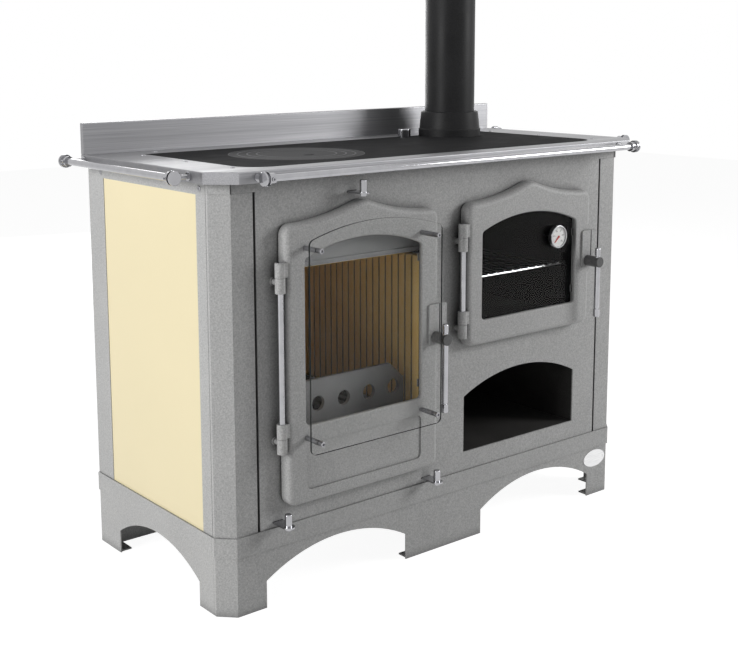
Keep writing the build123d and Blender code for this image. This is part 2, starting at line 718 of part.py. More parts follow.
def top_deck():
    """Sheet that closes the body under the hob, with holes for fire, flue and damper."""
    front = fold_line(SIDE_FRAME_SHEET)
    reach = HALF_WIDTH - SIDE_FRAME_SHEET
    outline = front + mirrored(front) + [(-reach, BODY_DEPTH), (reach, BODY_DEPTH)]
    deck = prism(outline, DECK_BOTTOM, BODY_TOP)
    deck -= rod_z(RING_X, RING_Y, DECK_BOTTOM - 1, BODY_TOP + 1, RINGS_RADIUS + RING_LIP)
    deck -= rod_z(FLUE_X, FLUE_Y, DECK_BOTTOM - 1, BODY_TOP + 1, FLUE_HOLE_RADIUS)
    shaft_hole = DAMPER_SHAFT_RADIUS + RUNNING_GAP
    deck -= rod_z(DAMPER_X, DAMPER_Y, DECK_BOTTOM - 1, BODY_TOP + 1, shaft_hole)
    return deck


# ---------------------------------------------------------------- hob

def plate_outline(inset, z0, z1):
    """Prism over the cast plate's outline, moved inwards by inset."""
    reach = PLATE_WIDTH / 2 - inset
    corner = PLATE_CORNER - inset
    slab = block(-reach, reach, PLATE_FRONT + inset, PLATE_REAR - inset, z0, z1)
    edges = slab.edges().filter_by(Axis.Z).group_by(Axis.Y)[0]
    return fillet(edges, corner)


def hob_screw_places():
    """Places of the small screws on top of the hob frame."""
    places = []
    for side in (-1, 1):
        places += [(side * HOB_SCREW_X, HOB_SCREW_FIRST_Y + i * HOB_SCREW_PITCH) for i in range(3)]
        places.append((side * REAR_SCREW_X, REAR_SCREW_Y))
    return places


def collar_seat():
    """Shallow round seat that the flue collar's foot stands in."""
    return rod_z(FLUE_X, FLUE_Y, HOB_SEAT, HOB_TOP + 1, COLLAR_FOOT_RADIUS + FIT_GAP)


def hob_frame():
    """Thick steel frame with a stepped cut-out for the cast plate."""
    reach = HOB_WIDTH / 2
    frame = block(-reach, reach, HOB_FRONT, HOB_REAR, BODY_TOP, HOB_TOP)
    frame = chamfer(frame.edges().filter_by(Axis.Z).group_by(Axis.Y)[0], HOB_CHAMFER)
    frame = fillet(frame.faces().sort_by(Axis.Z)[-1].edges(), HOB_EDGE_ROUND)
    frame -= plate_outline(0, LEDGE_Z, HOB_TOP + 1)
    frame -= plate_outline(PLATE_LEDGE, BODY_TOP - 1, LEDGE_Z)
    frame -= rod_z(FLUE_X, FLUE_Y, BODY_TOP - 1, HOB_TOP + 1, PIPE_RADIUS + PIPE_GAP)
    frame -= collar_seat()
    for x, y in hob_screw_places():
        low = HOB_TOP - SCREW_SHANK_LENGTH - SCREW_GAP
        frame -= rod_z(x, y, low, HOB_TOP + 1, SCREW_SHANK_RADIUS + SCREW_GAP)
    return frame


def hob_plate():
    """Cast cooking plate with a stepped hole for the rings, a flue hole and a damper bore."""
    plate = plate_outline(PLATE_GAP, LEDGE_Z, HOB_TOP)
    low = LEDGE_Z - LIP_THICKNESS
    plate += rod_z(RING_X, RING_Y, low, LEDGE_Z, RINGS_RADIUS + RING_LIP)
    plate -= rod_z(RING_X, RING_Y, LEDGE_Z, HOB_TOP + 1, RINGS_RADIUS)
    plate -= rod_z(RING_X, RING_Y, low - 1, LEDGE_Z, RINGS_RADIUS - RING_OVERLAP)
    plate -= rod_z(FLUE_X, FLUE_Y, low, HOB_TOP + 1, PIPE_RADIUS + PIPE_GAP)
    plate -= rod_z(DAMPER_X, DAMPER_Y, low, HOB_TOP + 1, DAMPER_SHAFT_RADIUS + RUNNING_GAP)
    knob_seat = rod_z(DAMPER_X, DAMPER_Y, HOB_SEAT, HOB_TOP + 1, DAMPER_KNOB_RADIUS + FIT_GAP)
    return plate - collar_seat() - knob_seat


def stepped_disc(outer, inner, lip):
    """Hob ring or lid: a flat top with a thinner lip below that carries the next one in."""
    base = LEDGE_Z + LIFT_GAP
    top = rod_z(RING_X, RING_Y, base, HOB_TOP, outer - RING_GAP)
    below = rod_z(RING_X, RING_Y, LEDGE_Z - LIP_THICKNESS, base, lip)
    disc = top + below
    if inner > 0:
        disc -= rod_z(RING_X, RING_Y, base, HOB_TOP + 1, inner)
        disc -= rod_z(RING_X, RING_Y, 0, base, inner - RING_OVERLAP)
    return disc


def hob_rings():
    """Nested rings around the lid, each carried by the next one out."""
    rings = []
    for i in range(RING_COUNT):
        inner = LID_RADIUS + i * RING_STEP
        outer = inner + RING_STEP
        rings.append(stepped_disc(outer, inner, outer - RING_OVERLAP - 2 * RING_GAP))
    return rings


def hob_lid():
    """Round lid in the innermost ring, with a slot for the lifting hook."""
    lid = stepped_disc(LID_RADIUS, 0, LID_RADIUS - RING_OVERLAP - 2 * RING_GAP)
    half = (LIFT_SLOT_LENGTH - LIFT_SLOT_WIDTH) / 2
    low = HOB_TOP - LIFT_SLOT_DEPTH
    slot_y = RING_Y - LID_RADIUS / 2
    width = LIFT_SLOT_WIDTH / 2
    lid -= block(RING_X - half, RING_X + half, slot_y - width, slot_y + width, low, HOB_TOP + 1)
    for end in (-half, half):
        lid -= rod_z(RING_X + end, slot_y, low, HOB_TOP + 1, width)
    return lid


def screw(top_z):
    """Small pan-head screw pointing down, with its seat at the given height."""
    head = Pos(0, 0, top_z) * extrude(Circle(SCREW_HEAD_RADIUS), amount=SCREW_HEAD_HEIGHT, taper=20)
    return head + rod_z(0, 0, top_z - SCREW_SHANK_LENGTH, top_z, SCREW_SHANK_RADIUS)


def small_screws():
    """Screws in the hob frame and in the side frames."""
    screws = [Pos(x, y, 0) * screw(HOB_TOP) for x, y in hob_screw_places()]
    for side in (-1, 1):
        for x, y, z in side_screw_places(side):
            screws.append(Pos(x, y, z) * Rot(0, 90 * side, 0) * screw(0))
    return screws


def backsplash():
    """Folded steel upstand along the rear of the hob, closed at both ends."""
    reach = HOB_WIDTH / 2
    front = HOB_REAR - BACKSPLASH_DEPTH
    top = HOB_TOP + BACKSPLASH_HEIGHT
    shell = block(-reach, reach, front, HOB_REAR, HOB_TOP, top)
    ridge = shell.edges().filter_by(Axis.X).group_by(Axis.Z)[-1]
    shell = fillet(ridge, HOB_EDGE_ROUND)
    wall = BACKSPLASH_SHEET
    hollow = block(-reach + wall, reach - wall, front + wall, HOB_REAR - wall,
                   HOB_TOP - 1, top - wall)
    return shell - hollow


# ---------------------------------------------------------------- flue and damper

def flue_collar():
    """Cast spigot collar: a round foot and a tapered upper tier."""
    foot_top = HOB_TOP + COLLAR_FOOT_HEIGHT
    foot = rod_z(FLUE_X, FLUE_Y, HOB_SEAT, foot_top, COLLAR_FOOT_RADIUS)
    foot = fillet(foot.edges().group_by(Axis.Z)[-1], HOB_EDGE_ROUND)
    height = COLLAR_HEIGHT - COLLAR_FOOT_HEIGHT
    cone = Cone(COLLAR_RADIUS, COLLAR_TOP_RADIUS, height)
    cone = Pos(FLUE_X, FLUE_Y, foot_top + height / 2) * cone
    cone = fillet(cone.edges().group_by(Axis.Z)[-1], HOB_EDGE_ROUND)
    bore = rod_z(FLUE_X, FLUE_Y, HOB_SEAT - 1, HOB_TOP + COLLAR_HEIGHT + 1, PIPE_RADIUS + PIPE_GAP)
    return foot + cone - bore


def flue_pipe():
    """Smoke pipe standing on the deck and rising through hob and collar."""
    pipe = rod_z(FLUE_X, FLUE_Y, BODY_TOP, PIPE_TOP, PIPE_RADIUS)
    return pipe - rod_z(FLUE_X, FLUE_Y, BODY_TOP - 1, PIPE_TOP + 1, PIPE_RADIUS - PIPE_WALL)


def damper_knob():
    """Turned knob on the hob plate with its shaft down through the deck."""
    knob = rod_z(DAMPER_X, DAMPER_Y, HOB_SEAT + FIT_GAP, HOB_TOP + DAMPER_KNOB_HEIGHT,
                 DAMPER_KNOB_RADIUS)
    knob = fillet(knob.edges().group_by(Axis.Z)[-1], HOB_EDGE_ROUND)
    low = DECK_BOTTOM - DAMPER_DISC_GAP - 2 * DAMPER_DISC_SHEET
    return knob + rod_z(DAMPER_X, DAMPER_Y, low, HOB_SEAT + FIT_GAP, DAMPER_SHAFT_RADIUS)


def damper_flap():
    """Disc on an arm under the deck, drawn turned aside so that the flue is open."""
    top = DECK_BOTTOM - DAMPER_DISC_GAP
    low = top - DAMPER_DISC_SHEET
    reach = math.hypot(FLUE_X - DAMPER_X, FLUE_Y - DAMPER_Y)
    closed = math.degrees(math.atan2(FLUE_Y - DAMPER_Y, FLUE_X - DAMPER_X))
    flap = rod_z(reach, 0, low, top, DAMPER_DISC_RADIUS)
    flap += block(0, reach, -DAMPER_ARM_WIDTH / 2, DAMPER_ARM_WIDTH / 2, low, top)
    flap += rod_z(0, 0, low, top, DAMPER_ARM_WIDTH / 2)
    flap -= rod_z(0, 0, low - 1, top + 1, DAMPER_SHAFT_RADIUS)
    return Pos(DAMPER_X, DAMPER_Y, 0) * Rot(0, 0, closed - 90) * flap


# ---------------------------------------------------------------- rails

def rail_cap():
    """End cap of a rail along x: end disc, neck, flange and collar with a set screw."""
    disc = rod_x(-RAIL_CAP_THICKNESS, 0, 0, 0, RAIL_CAP_RADIUS)
    disc = chamfer(disc.edges(), 1)
    inner_disc = -2 * RAIL_CAP_THICKNESS
    neck = rod_x(inner_disc, -RAIL_CAP_THICKNESS, 0, 0, RAIL_NECK_RADIUS)
    flange = rod_x(inner_disc - RAIL_CAP_THICKNESS / 2, inner_disc, 0, 0, RAIL_CAP_RADIUS)
    collar_end = inner_disc - RAIL_COLLAR_LENGTH
    collar = rod_x(collar_end, inner_disc, 0, 0, RAIL_COLLAR_RADIUS) + flange
    collar -= rod_x(collar_end - 1, inner_disc, 0, 0, RAIL_RADIUS + RAIL_GAP)
    boss_x = (collar_end + inner_disc) / 2
    boss_end = -RAIL_COLLAR_RADIUS - RAIL_SCREW_PROUD
    boss = rod_y(boss_x, boss_end, -RAIL_NECK_RADIUS, 0, RAIL_SCREW_RADIUS)
    boss -= rod_y(boss_x, boss_end - 1, boss_end + RAIL_SCREW_PROUD, 0, RAIL_SCREW_RADIUS / 2)
    return disc + neck + collar + boss


def rail_post():
    """Stand-off from the hob edge to a rail collar, along y from the rail's axis."""
    rod = rod_y(0, RAIL_NECK_RADIUS, RAIL_OFFSET, 0, RAIL_POST_RADIUS)
    foot = rod_y(0, RAIL_OFFSET - RAIL_FLANGE_THICKNESS, RAIL_OFFSET, 0, RAIL_FLANGE_RADIUS)
    return rod + foot - rod_x(-RAIL_OFFSET, RAIL_OFFSET, 0, 0, RAIL_COLLAR_RADIUS)


def rail_set(length):
    """Tube, two caps and two stand-offs of a rail along x, centred, hob on the +y side."""
    inset = 2 * RAIL_CAP_THICKNESS
    end = length / 2 - inset
    tube = rod_x(-end, end, 0, 0, RAIL_RADIUS)
    tube -= rod_x(-end - 1, end + 1, 0, 0, RAIL_RADIUS - RAIL_WALL)
    post_x = end - RAIL_COLLAR_LENGTH / 2
    cap = rail_cap()
    caps = [Pos(length / 2, 0, 0) * cap, Pos(-length / 2, 0, 0) * mirror(cap, Plane.YZ)]
    posts = [Pos(x, 0, 0) * rail_post() for x in (-post_x, post_x)]
    return tube, caps, posts


def all_rails():
    """Tubes, caps and stand-offs of the front rail and both side rails."""
    side_middle = (SIDE_RAIL_FRONT + SIDE_RAIL_REAR) / 2
    side_x = HOB_WIDTH / 2 + RAIL_OFFSET
    side_length = SIDE_RAIL_REAR - SIDE_RAIL_FRONT
    layout = [
        (Pos(0, FRONT_RAIL_Y, RAIL_Z), 2 * FRONT_RAIL_REACH),
        (Pos(-side_x, side_middle, RAIL_Z) * Rot(0, 0, -90), side_length),
        (Pos(side_x, side_middle, RAIL_Z) * Rot(0, 0, 90), side_length),
    ]
    tubes, caps, posts = [], [], []
    for place, length in layout:
        tube, ends, stands = rail_set(length)
        tubes.append(place * tube)
        caps += [place * end for end in ends]
        posts += [place * stand for stand in stands]
    return tubes, caps, posts


# ---------------------------------------------------------------- doors

def curve_middle(start, end, radius):
    """Middle point of an arc of the given radius that hangs below the line start-end."""
    chord = math.dist(start, end)
    sag = radius - math.sqrt(radius ** 2 - (chord / 2) ** 2)
    across = (end[0] - start[0]) / chord
    rise = (end[1] - start[1]) / chord
    middle_x = (start[0] + end[0]) / 2
    middle_z = (start[1] + end[1]) / 2
    return (middle_x + rise * sag, middle_z - across * sag)


def door_face(bottom):
    """Front shape of a door: two hollow curves rise from level shoulders to a peak."""
    half = DOOR_WIDTH / 2
    peak = (0, DOOR_PEAK)
    left_start = (-DOOR_CURVE_START, DOOR_SHOULDER)
    left_middle = curve_middle(left_start, peak, DOOR_CURVE_RADIUS)
    right_middle = (-left_middle[0], left_middle[1])
    right_start = (DOOR_CURVE_START, DOOR_SHOULDER)
    outline = Polyline(left_start, (-half, DOOR_SHOULDER), (-half, bottom), (half, bottom),
                       (half, DOOR_SHOULDER), right_start)
    outline += ThreePointArc(right_start, right_middle, peak)
    outline += ThreePointArc(peak, left_middle, left_start)
    face = make_face(outline.edges())
    corners = [v for v in face.vertices() if abs(abs(v.X) - half) < 1]
    face = fillet(corners, DOOR_CORNER)
    return fillet(face.vertices().sort_by(Axis.Y)[-1], DOOR_PEAK_ROUND)


def seal_face(bottom, grow):
    """Rectangle round a panel opening, larger by the seal margin and grow."""
    half = OPENING_HALF + SEAL_MARGIN + grow
    low = bottom + OPENING_FOOT - SEAL_MARGIN - grow
    high = OPENING_TOP + SEAL_MARGIN + grow
    return rounded_rectangle(-half, half, low, high, SEAL_CORNER + grow)


def door_seal(door_x, bottom, front, back):
    """Closed rope-shaped seal round a panel opening."""
    ring = through_y(seal_face(bottom, SEAL_WIDTH), front, back)
    ring -= through_y(seal_face(bottom, 0), front - 1, back + 1)
    return Pos(door_x, 0, 0) * ring


def window_face(x, bottom, side, crown, grow):
    """Arched window outline, larger by grow all round."""
    half = WINDOW_WIDTH / 2 + grow
    radius = WINDOW_CORNER + grow
    return rounded_arch(x - half, x + half, bottom - grow, side + grow, crown + grow, radius)


def latch_bounds(door_x, latch_bottom):
    """Door edge, left end and right end of a latch, and its foot and top."""
    edge = door_x + DOOR_WIDTH / 2
    right = edge + LATCH_OVERHANG
    return edge, right - LATCH_WIDTH, right, latch_bottom, latch_bottom + LATCH_HEIGHT


def latch_notch(door_x, latch_bottom, gap):
    """Block inside the door edge that the latch housing fills, smaller by gap."""
    edge, _, _, low, high = latch_bounds(door_x, latch_bottom)
    return block(edge - LATCH_NOTCH + gap, edge + 1, DOOR_FRONT, LATCH_NOTCH_BACK - gap,
                 low + gap, high - gap)


def leaf_block(door_x, barrel_bottom, gap):
    """Leaf that joins a door knuckle to the door, larger by gap."""
    axis = door_x - DOOR_WIDTH / 2 - HINGE_OFFSET
    low = barrel_bottom + BARREL_SPLIT + BARREL_PLAY
    high = barrel_bottom + BARREL_HEIGHT - LEAF_TRIM
    half = LEAF_THICKNESS / 2 + gap
    return block(axis, axis + LEAF_REACH + gap, HINGE_Y - half, HINGE_Y + half,
                 low - gap, high + gap)


def door(door_x, bottom, window, latch_bottom, hinges):
    """Cast door with rounded edges, a rear pocket, a window and seats for its fittings."""
    casting = through_y(door_face(bottom), DOOR_FRONT, DOOR_BACK)
    casting = fillet(casting.faces().sort_by(Axis.Y)[0].edges(), DOOR_EDGE_ROUND)
    casting = Pos(door_x, 0, 0) * casting
    edge, _, _, low, high = latch_bounds(door_x, latch_bottom)
    land = rounded_rectangle(edge - 2 * LAND_MARGIN, edge, low - LAND_MARGIN,
                             high + LAND_MARGIN, LATCH_CORNER)
    casting += through_y(land, DOOR_FRONT, DOOR_FRONT + DOOR_EDGE_ROUND)
    casting -= block(door_x - DOOR_POCKET_HALF, door_x + DOOR_POCKET_HALF, POCKET_FACE, 0,
                     bottom + DOOR_POCKET_FOOT, DOOR_POCKET_TOP)
    casting -= through_y(window_face(*window, 0), DOOR_FRONT - 1, DOOR_BACK)
    rim = casting.faces().sort_by(Axis.Y)[0].inner_wires()[0].edges()
    casting = fillet(rim, WINDOW_EDGE)
    casting -= door_seal(door_x, bottom, DOOR_BACK - SEAL_GROOVE, DOOR_BACK + 1)
    casting -= latch_notch(door_x, latch_bottom, 0)
    for barrel_bottom in hinges:
        casting -= leaf_block(door_x, barrel_bottom, ROD_SEAT_GAP)
        axis = door_x - DOOR_WIDTH / 2 - HINGE_OFFSET
        room = BARREL_RADIUS + FIT_GAP
        casting -= rod_z(axis, HINGE_Y, barrel_bottom - 1, barrel_bottom + BARREL_HEIGHT + 1, room)
    return casting


def fire_door():
    """Firebox door: the shared casting with a sunken field under the window."""
    window = (FIRE_WINDOW_X, FIRE_WINDOW_BOTTOM, FIRE_WINDOW_SIDE, FIRE_WINDOW_CROWN)
    casting = door(FIRE_DOOR_X, FIRE_DOOR_BOTTOM, window, FIRE_LATCH_BOTTOM,
                   (FIRE_HINGE_LOW, FIRE_HINGE_HIGH))
    left = FIRE_WINDOW_X - WINDOW_WIDTH / 2
    field = rounded_rectangle(left, left + WINDOW_WIDTH, FIELD_BOTTOM, FIELD_TOP, FIELD_CORNER)
    casting -= through_y(field, DOOR_FRONT - 1, DOOR_FRONT + FIELD_DEPTH)
    for x, z in screen_post_places():
        casting -= rod_y(x, DOOR_FRONT - 1, POCKET_FACE, z, SCREEN_PIN_RADIUS + SCREEN_PIN_GAP)
    return casting


def oven_door():
    """Oven door: the shared casting with a lower edge higher up."""
    window = (OVEN_WINDOW_X, OVEN_WINDOW_BOTTOM, OVEN_WINDOW_SIDE, OVEN_WINDOW_CROWN)
    return door(OVEN_DOOR_X, OVEN_DOOR_BOTTOM, window, OVEN_LATCH_BOTTOM,
                (OVEN_HINGE_LOW, OVEN_HINGE_HIGH))


def door_glass(x, bottom, side, crown):
    """Pane lying against the door's front wall from behind."""
    face = window_face(x, bottom, side, crown, GLASS_OVERLAP)
    return through_y(face, POCKET_FACE, POCKET_FACE + DOOR_GLASS)


def glass_clips(x, low_z, high_z):
    """Four clips that hold a pane by its upright edges."""
    clips = []
    half = WINDOW_WIDTH / 2 + GLASS_OVERLAP
    seat = POCKET_FACE + DOOR_GLASS
    for side in (-1, 1):
        for z in (low_z, high_z):
            near = x + side * (half - CLIP_REACH)
            stud_x = x + side * (half + CLIP_STUD_OFFSET)
            far = stud_x + side * CLIP_STUD_RADIUS
            clip = block(near, far, seat, seat + CLIP_THICKNESS, z - CLIP_WIDTH / 2,
                         z + CLIP_WIDTH / 2)
            clips.append(clip + rod_y(stud_x, POCKET_FACE, seat, z, CLIP_STUD_RADIUS))
    return clips


def door_knuckle(door_x, barrel_bottom):
    """Upper half of a hinge barrel with the leaf that is let into the door edge."""
    axis = door_x - DOOR_WIDTH / 2 - HINGE_OFFSET
    low = barrel_bottom + BARREL_SPLIT + BARREL_PLAY
    high = barrel_bottom + BARREL_HEIGHT
    knuckle = rod_z(axis, HINGE_Y, low, high, BARREL_RADIUS)
    knuckle = knuckle + leaf_block(door_x, barrel_bottom, 0)
    return knuckle - rod_z(axis, HINGE_Y, low - 1, high + 1, HINGE_ROD_RADIUS + RUNNING_GAP)


def hinge_bracket(door_x, barrel_bottom):
    """Lower half of a hinge barrel on a stud with a flange against the front panel."""
    axis = door_x - DOOR_WIDTH / 2 - HINGE_OFFSET
    high = barrel_bottom + BARREL_SPLIT
    stud_z = barrel_bottom + STUD_RISE
    bracket = rod_z(axis, HINGE_Y, barrel_bottom, high, BARREL_RADIUS)
    bracket += rod_y(axis, HINGE_Y, 0, stud_z, STUD_RADIUS)
    bracket += rod_y(axis, -STUD_FLANGE, 0, stud_z, STUD_FLANGE_RADIUS)
    bore = HINGE_ROD_RADIUS + ROD_SEAT_GAP
    return bracket - rod_z(axis, HINGE_Y, barrel_bottom - 1, high + 1, bore)


def hinge_rod(door_x, low_barrel, high_barrel):
    """Long hinge pin through both barrels of a door."""
    axis = door_x - DOOR_WIDTH / 2 - HINGE_OFFSET
    top = high_barrel + BARREL_HEIGHT + HINGE_ROD_PROUD
    rod = rod_z(axis, HINGE_Y, low_barrel - HINGE_ROD_PROUD, top, HINGE_ROD_RADIUS)
    return chamfer(rod.edges(), HINGE_ROD_PROUD / 2)


def handle_axis(door_x, latch_bottom):
    """Place of a handle's turning axis in x and z."""
    return door_x + DOOR_WIDTH / 2 - HANDLE_AXIS_INSET, latch_bottom + HANDLE_AXIS_RISE


def latch(door_x, latch_bottom):
    """Latch: front plate, boss beyond the door edge and housing let into the door."""
    edge, left, right, low, high = latch_bounds(door_x, latch_bottom)
    plate_front = DOOR_FRONT - LATCH_PLATE
    plate = rounded_rectangle(left, right, low, high, LATCH_CORNER)
    body = through_y(plate, plate_front, DOOR_FRONT)
    line = left + LATCH_GROOVE_INSET
    body -= block(line, line + LATCH_GROOVE_WIDTH, plate_front - 1,
                  plate_front + LATCH_GROOVE_DEPTH, low - 1, high + 1)
    housing = latch_notch(door_x, latch_bottom, LATCH_HOUSING_GAP)
    boss_right = right - LATCH_CORNER
    boss_back = LATCH_NOTCH_BACK - LATCH_HOUSING_GAP
    boss = block(edge, boss_right, DOOR_FRONT, boss_back, low + LATCH_CORNER, high - LATCH_CORNER)
    boss = fillet(boss.edges().filter_by(Axis.Y).group_by(Axis.X)[-1], LATCH_CORNER)
    axis_x, axis_z = handle_axis(door_x, latch_bottom)
    bore_end = plate_front + HANDLE_SHAFT_LENGTH + 1
    bore = rod_y(axis_x, plate_front - 1, bore_end, axis_z, HANDLE_SHAFT_RADIUS + RUNNING_GAP)
    return body + housing + boss - bore


def handle_knob(door_x, latch_bottom):
    """Round knob on a shaft, cross-drilled for the handle bar."""
    axis_x, axis_z = handle_axis(door_x, latch_bottom)
    seat = DOOR_FRONT - LATCH_PLATE
    end = seat - KNOB_LENGTH
    knob = rod_y(axis_x, end, seat - FIT_GAP, axis_z, KNOB_RADIUS)
    knob = chamfer(knob.edges().group_by(Axis.Y)[0], 1)
    knob += rod_y(axis_x, seat - FIT_GAP, seat + HANDLE_SHAFT_LENGTH, axis_z, HANDLE_SHAFT_RADIUS)
    hole = rod_z(axis_x, end + BAR_INSET, axis_z - 2 * KNOB_RADIUS, axis_z + 2 * KNOB_RADIUS,
                 BAR_RADIUS + BAR_GAP)
    return knob - hole


def handle_bar(door_x, latch_bottom, drop):
    """Upright bar through the knob, with a ferrule at its foot and a necked upper end."""
    axis_x, axis_z = handle_axis(door_x, latch_bottom)
    y = DOOR_FRONT - LATCH_PLATE - KNOB_LENGTH + BAR_INSET
    foot = axis_z - drop
    top = axis_z + BAR_RISE
    bar = rod_z(axis_x, y, foot, top, BAR_RADIUS)
    bar = fillet(bar.edges().group_by(Axis.Z)[-1], BAR_END_ROUND)
    ferrule = rod_z(axis_x, y, foot, foot + FERRULE_LENGTH, FERRULE_RADIUS)
    bar += chamfer(ferrule.edges(), 1)
    neck_low = foot + FERRULE_LENGTH
    collar_low = axis_z + KNOB_RADIUS + 1
    for low in (neck_low, collar_low):
        groove = rod_z(axis_x, y, low, low + BAR_NECK_LENGTH, 2 * BAR_RADIUS)
        groove -= rod_z(axis_x, y, low, low + BAR_NECK_LENGTH, BAR_NECK_RADIUS)
        bar -= groove
    return bar


def screen_post_places():
    """Places of the four posts of the screen glass, in x and z."""
    return [(SCREEN_X + side * SCREEN_POST_HALF, z)
            for side in (-1, 1) for z in (SCREEN_POST_LOW, SCREEN_POST_HIGH)]


def screen_glass():
    """Arched outer pane in front of the fire door, drilled for its posts."""
    half = SCREEN_WIDTH / 2
    face = rounded_arch(SCREEN_X - half, SCREEN_X + half, SCREEN_BOTTOM, SCREEN_SIDE,
                        SCREEN_CROWN, SCREEN_CORNER)
    back = DOOR_FRONT - SCREEN_STANDOFF
    pane = through_y(face, back - SCREEN_GLASS, back)
    for x, z in screen_post_places():
        pane -= rod_y(x, back - SCREEN_GLASS - 1, back + 1, z, SCREEN_PIN_RADIUS + SCREEN_PIN_GAP)
    return pane


def screen_post(x, z):
    """Post screwed into the door, with a pin through the pane and a socket head in front."""
    back = DOOR_FRONT - SCREEN_STANDOFF
    front = back - SCREEN_GLASS
    post = rod_y(x, back, DOOR_FRONT, z, SCREEN_POST_RADIUS)
    post += rod_y(x, front, POCKET_FACE, z, SCREEN_PIN_RADIUS)
    head = rod_y(x, front - SCREEN_HEAD_LENGTH, front, z, SCREEN_POST_RADIUS)
    head = chamfer(head.edges().group_by(Axis.Y)[0], 1)
    head -= rod_y(x, front - SCREEN_HEAD_LENGTH - 1,
                  front - SCREEN_HEAD_LENGTH + SCREEN_SOCKET_DEPTH, z, SCREEN_SOCKET_RADIUS)
    return post + head


# ---------------------------------------------------------------- thermometer

def thermometer():
    """Dial case on the oven door's pane, with its probe through the glass."""
    case = rod_y(DIAL_X, DIAL_FRONT, DIAL_FRONT + DIAL_BEZEL, DIAL_Z, DIAL_RADIUS)
    case = fillet(case.edges().group_by(Axis.Y)[0], 1)
    case -= rod_y(DIAL_X, DIAL_FRONT - 1, DIAL_FRONT + DIAL_RECESS, DIAL_Z, DIAL_RADIUS - DIAL_RIM)
    case += rod_y(DIAL_X, DIAL_FRONT + DIAL_BEZEL, POCKET_FACE, DIAL_Z, DIAL_HUB_RADIUS)
    case += rod_y(DIAL_X, POCKET_FACE, POCKET_FACE + DIAL_STEM_REACH, DIAL_Z, DIAL_STEM_RADIUS)
    bore_end = DIAL_FRONT + DIAL_RECESS + NEEDLE_PIN_RADIUS + NEEDLE_LIFT
    return case - rod_y(DIAL_X, DIAL_FRONT, bore_end, DIAL_Z, NEEDLE_PIN_RADIUS + RUNNING_GAP)


def thermometer_needle():
    """Pointer on a pin, at rest on the cold end of the dial at the lower left."""
    face = DIAL_FRONT + DIAL_RECESS
    back = face - NEEDLE_LIFT
    front = back - NEEDLE_SHEET
    needle = rod_y(0, front - NEEDLE_SHEET, back, 0, NEEDLE_HUB_RADIUS)
    root = NEEDLE_ROOT / 2
    tip = NEEDLE_TIP / 2
    outline = Polyline((-root, 0), (root, 0), (tip, NEEDLE_LENGTH), (-tip, NEEDLE_LENGTH), (-root, 0))
    needle += through_y(make_face(outline.edges()), front, back)
    needle += rod_y(0, back, face + NEEDLE_PIN_RADIUS, 0, NEEDLE_PIN_RADIUS)
    return Pos(DIAL_X, 0, DIAL_Z) * Rot(0, -NEEDLE_REST_ANGLE, 0) * needle


# ---------------------------------------------------------------- firebox

def firebox_bounds():
    """Left and right inner faces of the firebox shell."""
    left, right, _, _ = opening_bounds(FIRE_DOOR_X, FIRE_DOOR_BOTTOM)
    return left - FIREBOX_MARGIN, right + FIREBOX_MARGIN


def oven_ceiling():
    """Height of the top face of the oven box."""
    return OPENING_TOP + OVEN_SHEET


def firebox_shell():
    """Welded firebox: floor, walls and the two ledges that carry grate and lining."""
    left, right = firebox_bounds()
    rear = FIREBOX_DEPTH
    floor_low = FIREBOX_BOTTOM - BOX_SHEET
    high = DECK_BOTTOM
    ledge_low = GRATE_BOTTOM - GRATE_LEDGE_SHEET
    return [
        block(left, right, SHEET, rear, floor_low, FIREBOX_BOTTOM),
        block(left - BOX_SHEET, left, SHEET, rear, floor_low, high),
        block(right, right + BOX_SHEET, SHEET, rear, floor_low, oven_ceiling()),
        block(left - BOX_SHEET, right + BOX_SHEET, rear, rear + BOX_SHEET, floor_low, high),
        block(left, left + GRATE_LEDGE, SHEET, rear, ledge_low, GRATE_BOTTOM),
        block(right - GRATE_LEDGE, right, SHEET, rear, ledge_low, GRATE_BOTTOM),
    ]


def smoke_duct():
    """Space above the oven on the way to the flue: floor, right wall and back."""
    _, right = firebox_bounds()
    left = right + BOX_SHEET
    low = oven_ceiling()
    floor_top = low + BOX_SHEET
    rear = FIREBOX_DEPTH
    return [
        block(right, DUCT_RIGHT, SHEET, rear, low, floor_top),
        block(DUCT_RIGHT, DUCT_RIGHT + BOX_SHEET, SHEET, rear, low, DECK_BOTTOM),
        block(left, DUCT_RIGHT + BOX_SHEET, rear, rear + BOX_SHEET, low, DECK_BOTTOM),
    ]


def lining_back():
    """Rear slab of the firebox lining."""
    left, right = firebox_bounds()
    front = FIREBOX_DEPTH - LINING_THICKNESS
    return block(left, right, front, FIREBOX_DEPTH, GRATE_BOTTOM, LINING_TOP)


def lining_side(wall, inward):
    """Side slab of the lining, fluted by upright grooves on its fire side."""
    face = wall + inward * LINING_THICKNESS
    rear = FIREBOX_DEPTH - LINING_THICKNESS
    slab = block(wall, face, LINING_FRONT, rear, GRATE_BOTTOM, LINING_TOP)
    count = round((FIREBOX_DEPTH - RIB_REAR_MARGIN - RIB_FIRST_Y) / RIB_PITCH) + 1
    for i in range(count):
        y = RIB_FIRST_Y + i * RIB_PITCH
        deep = face - inward * RIB_GROOVE_DEPTH
        slab -= block(deep, face + inward, y, y + RIB_GROOVE, GRATE_BOTTOM - 1, LINING_TOP + 1)
    return slab


def baffle():
    """Slab on the lining that sends the smoke forward under the hob."""
    left, right = firebox_bounds()
    return block(left, right, BAFFLE_FRONT, FIREBOX_DEPTH, LINING_TOP, LINING_TOP + BAFFLE_THICKNESS)


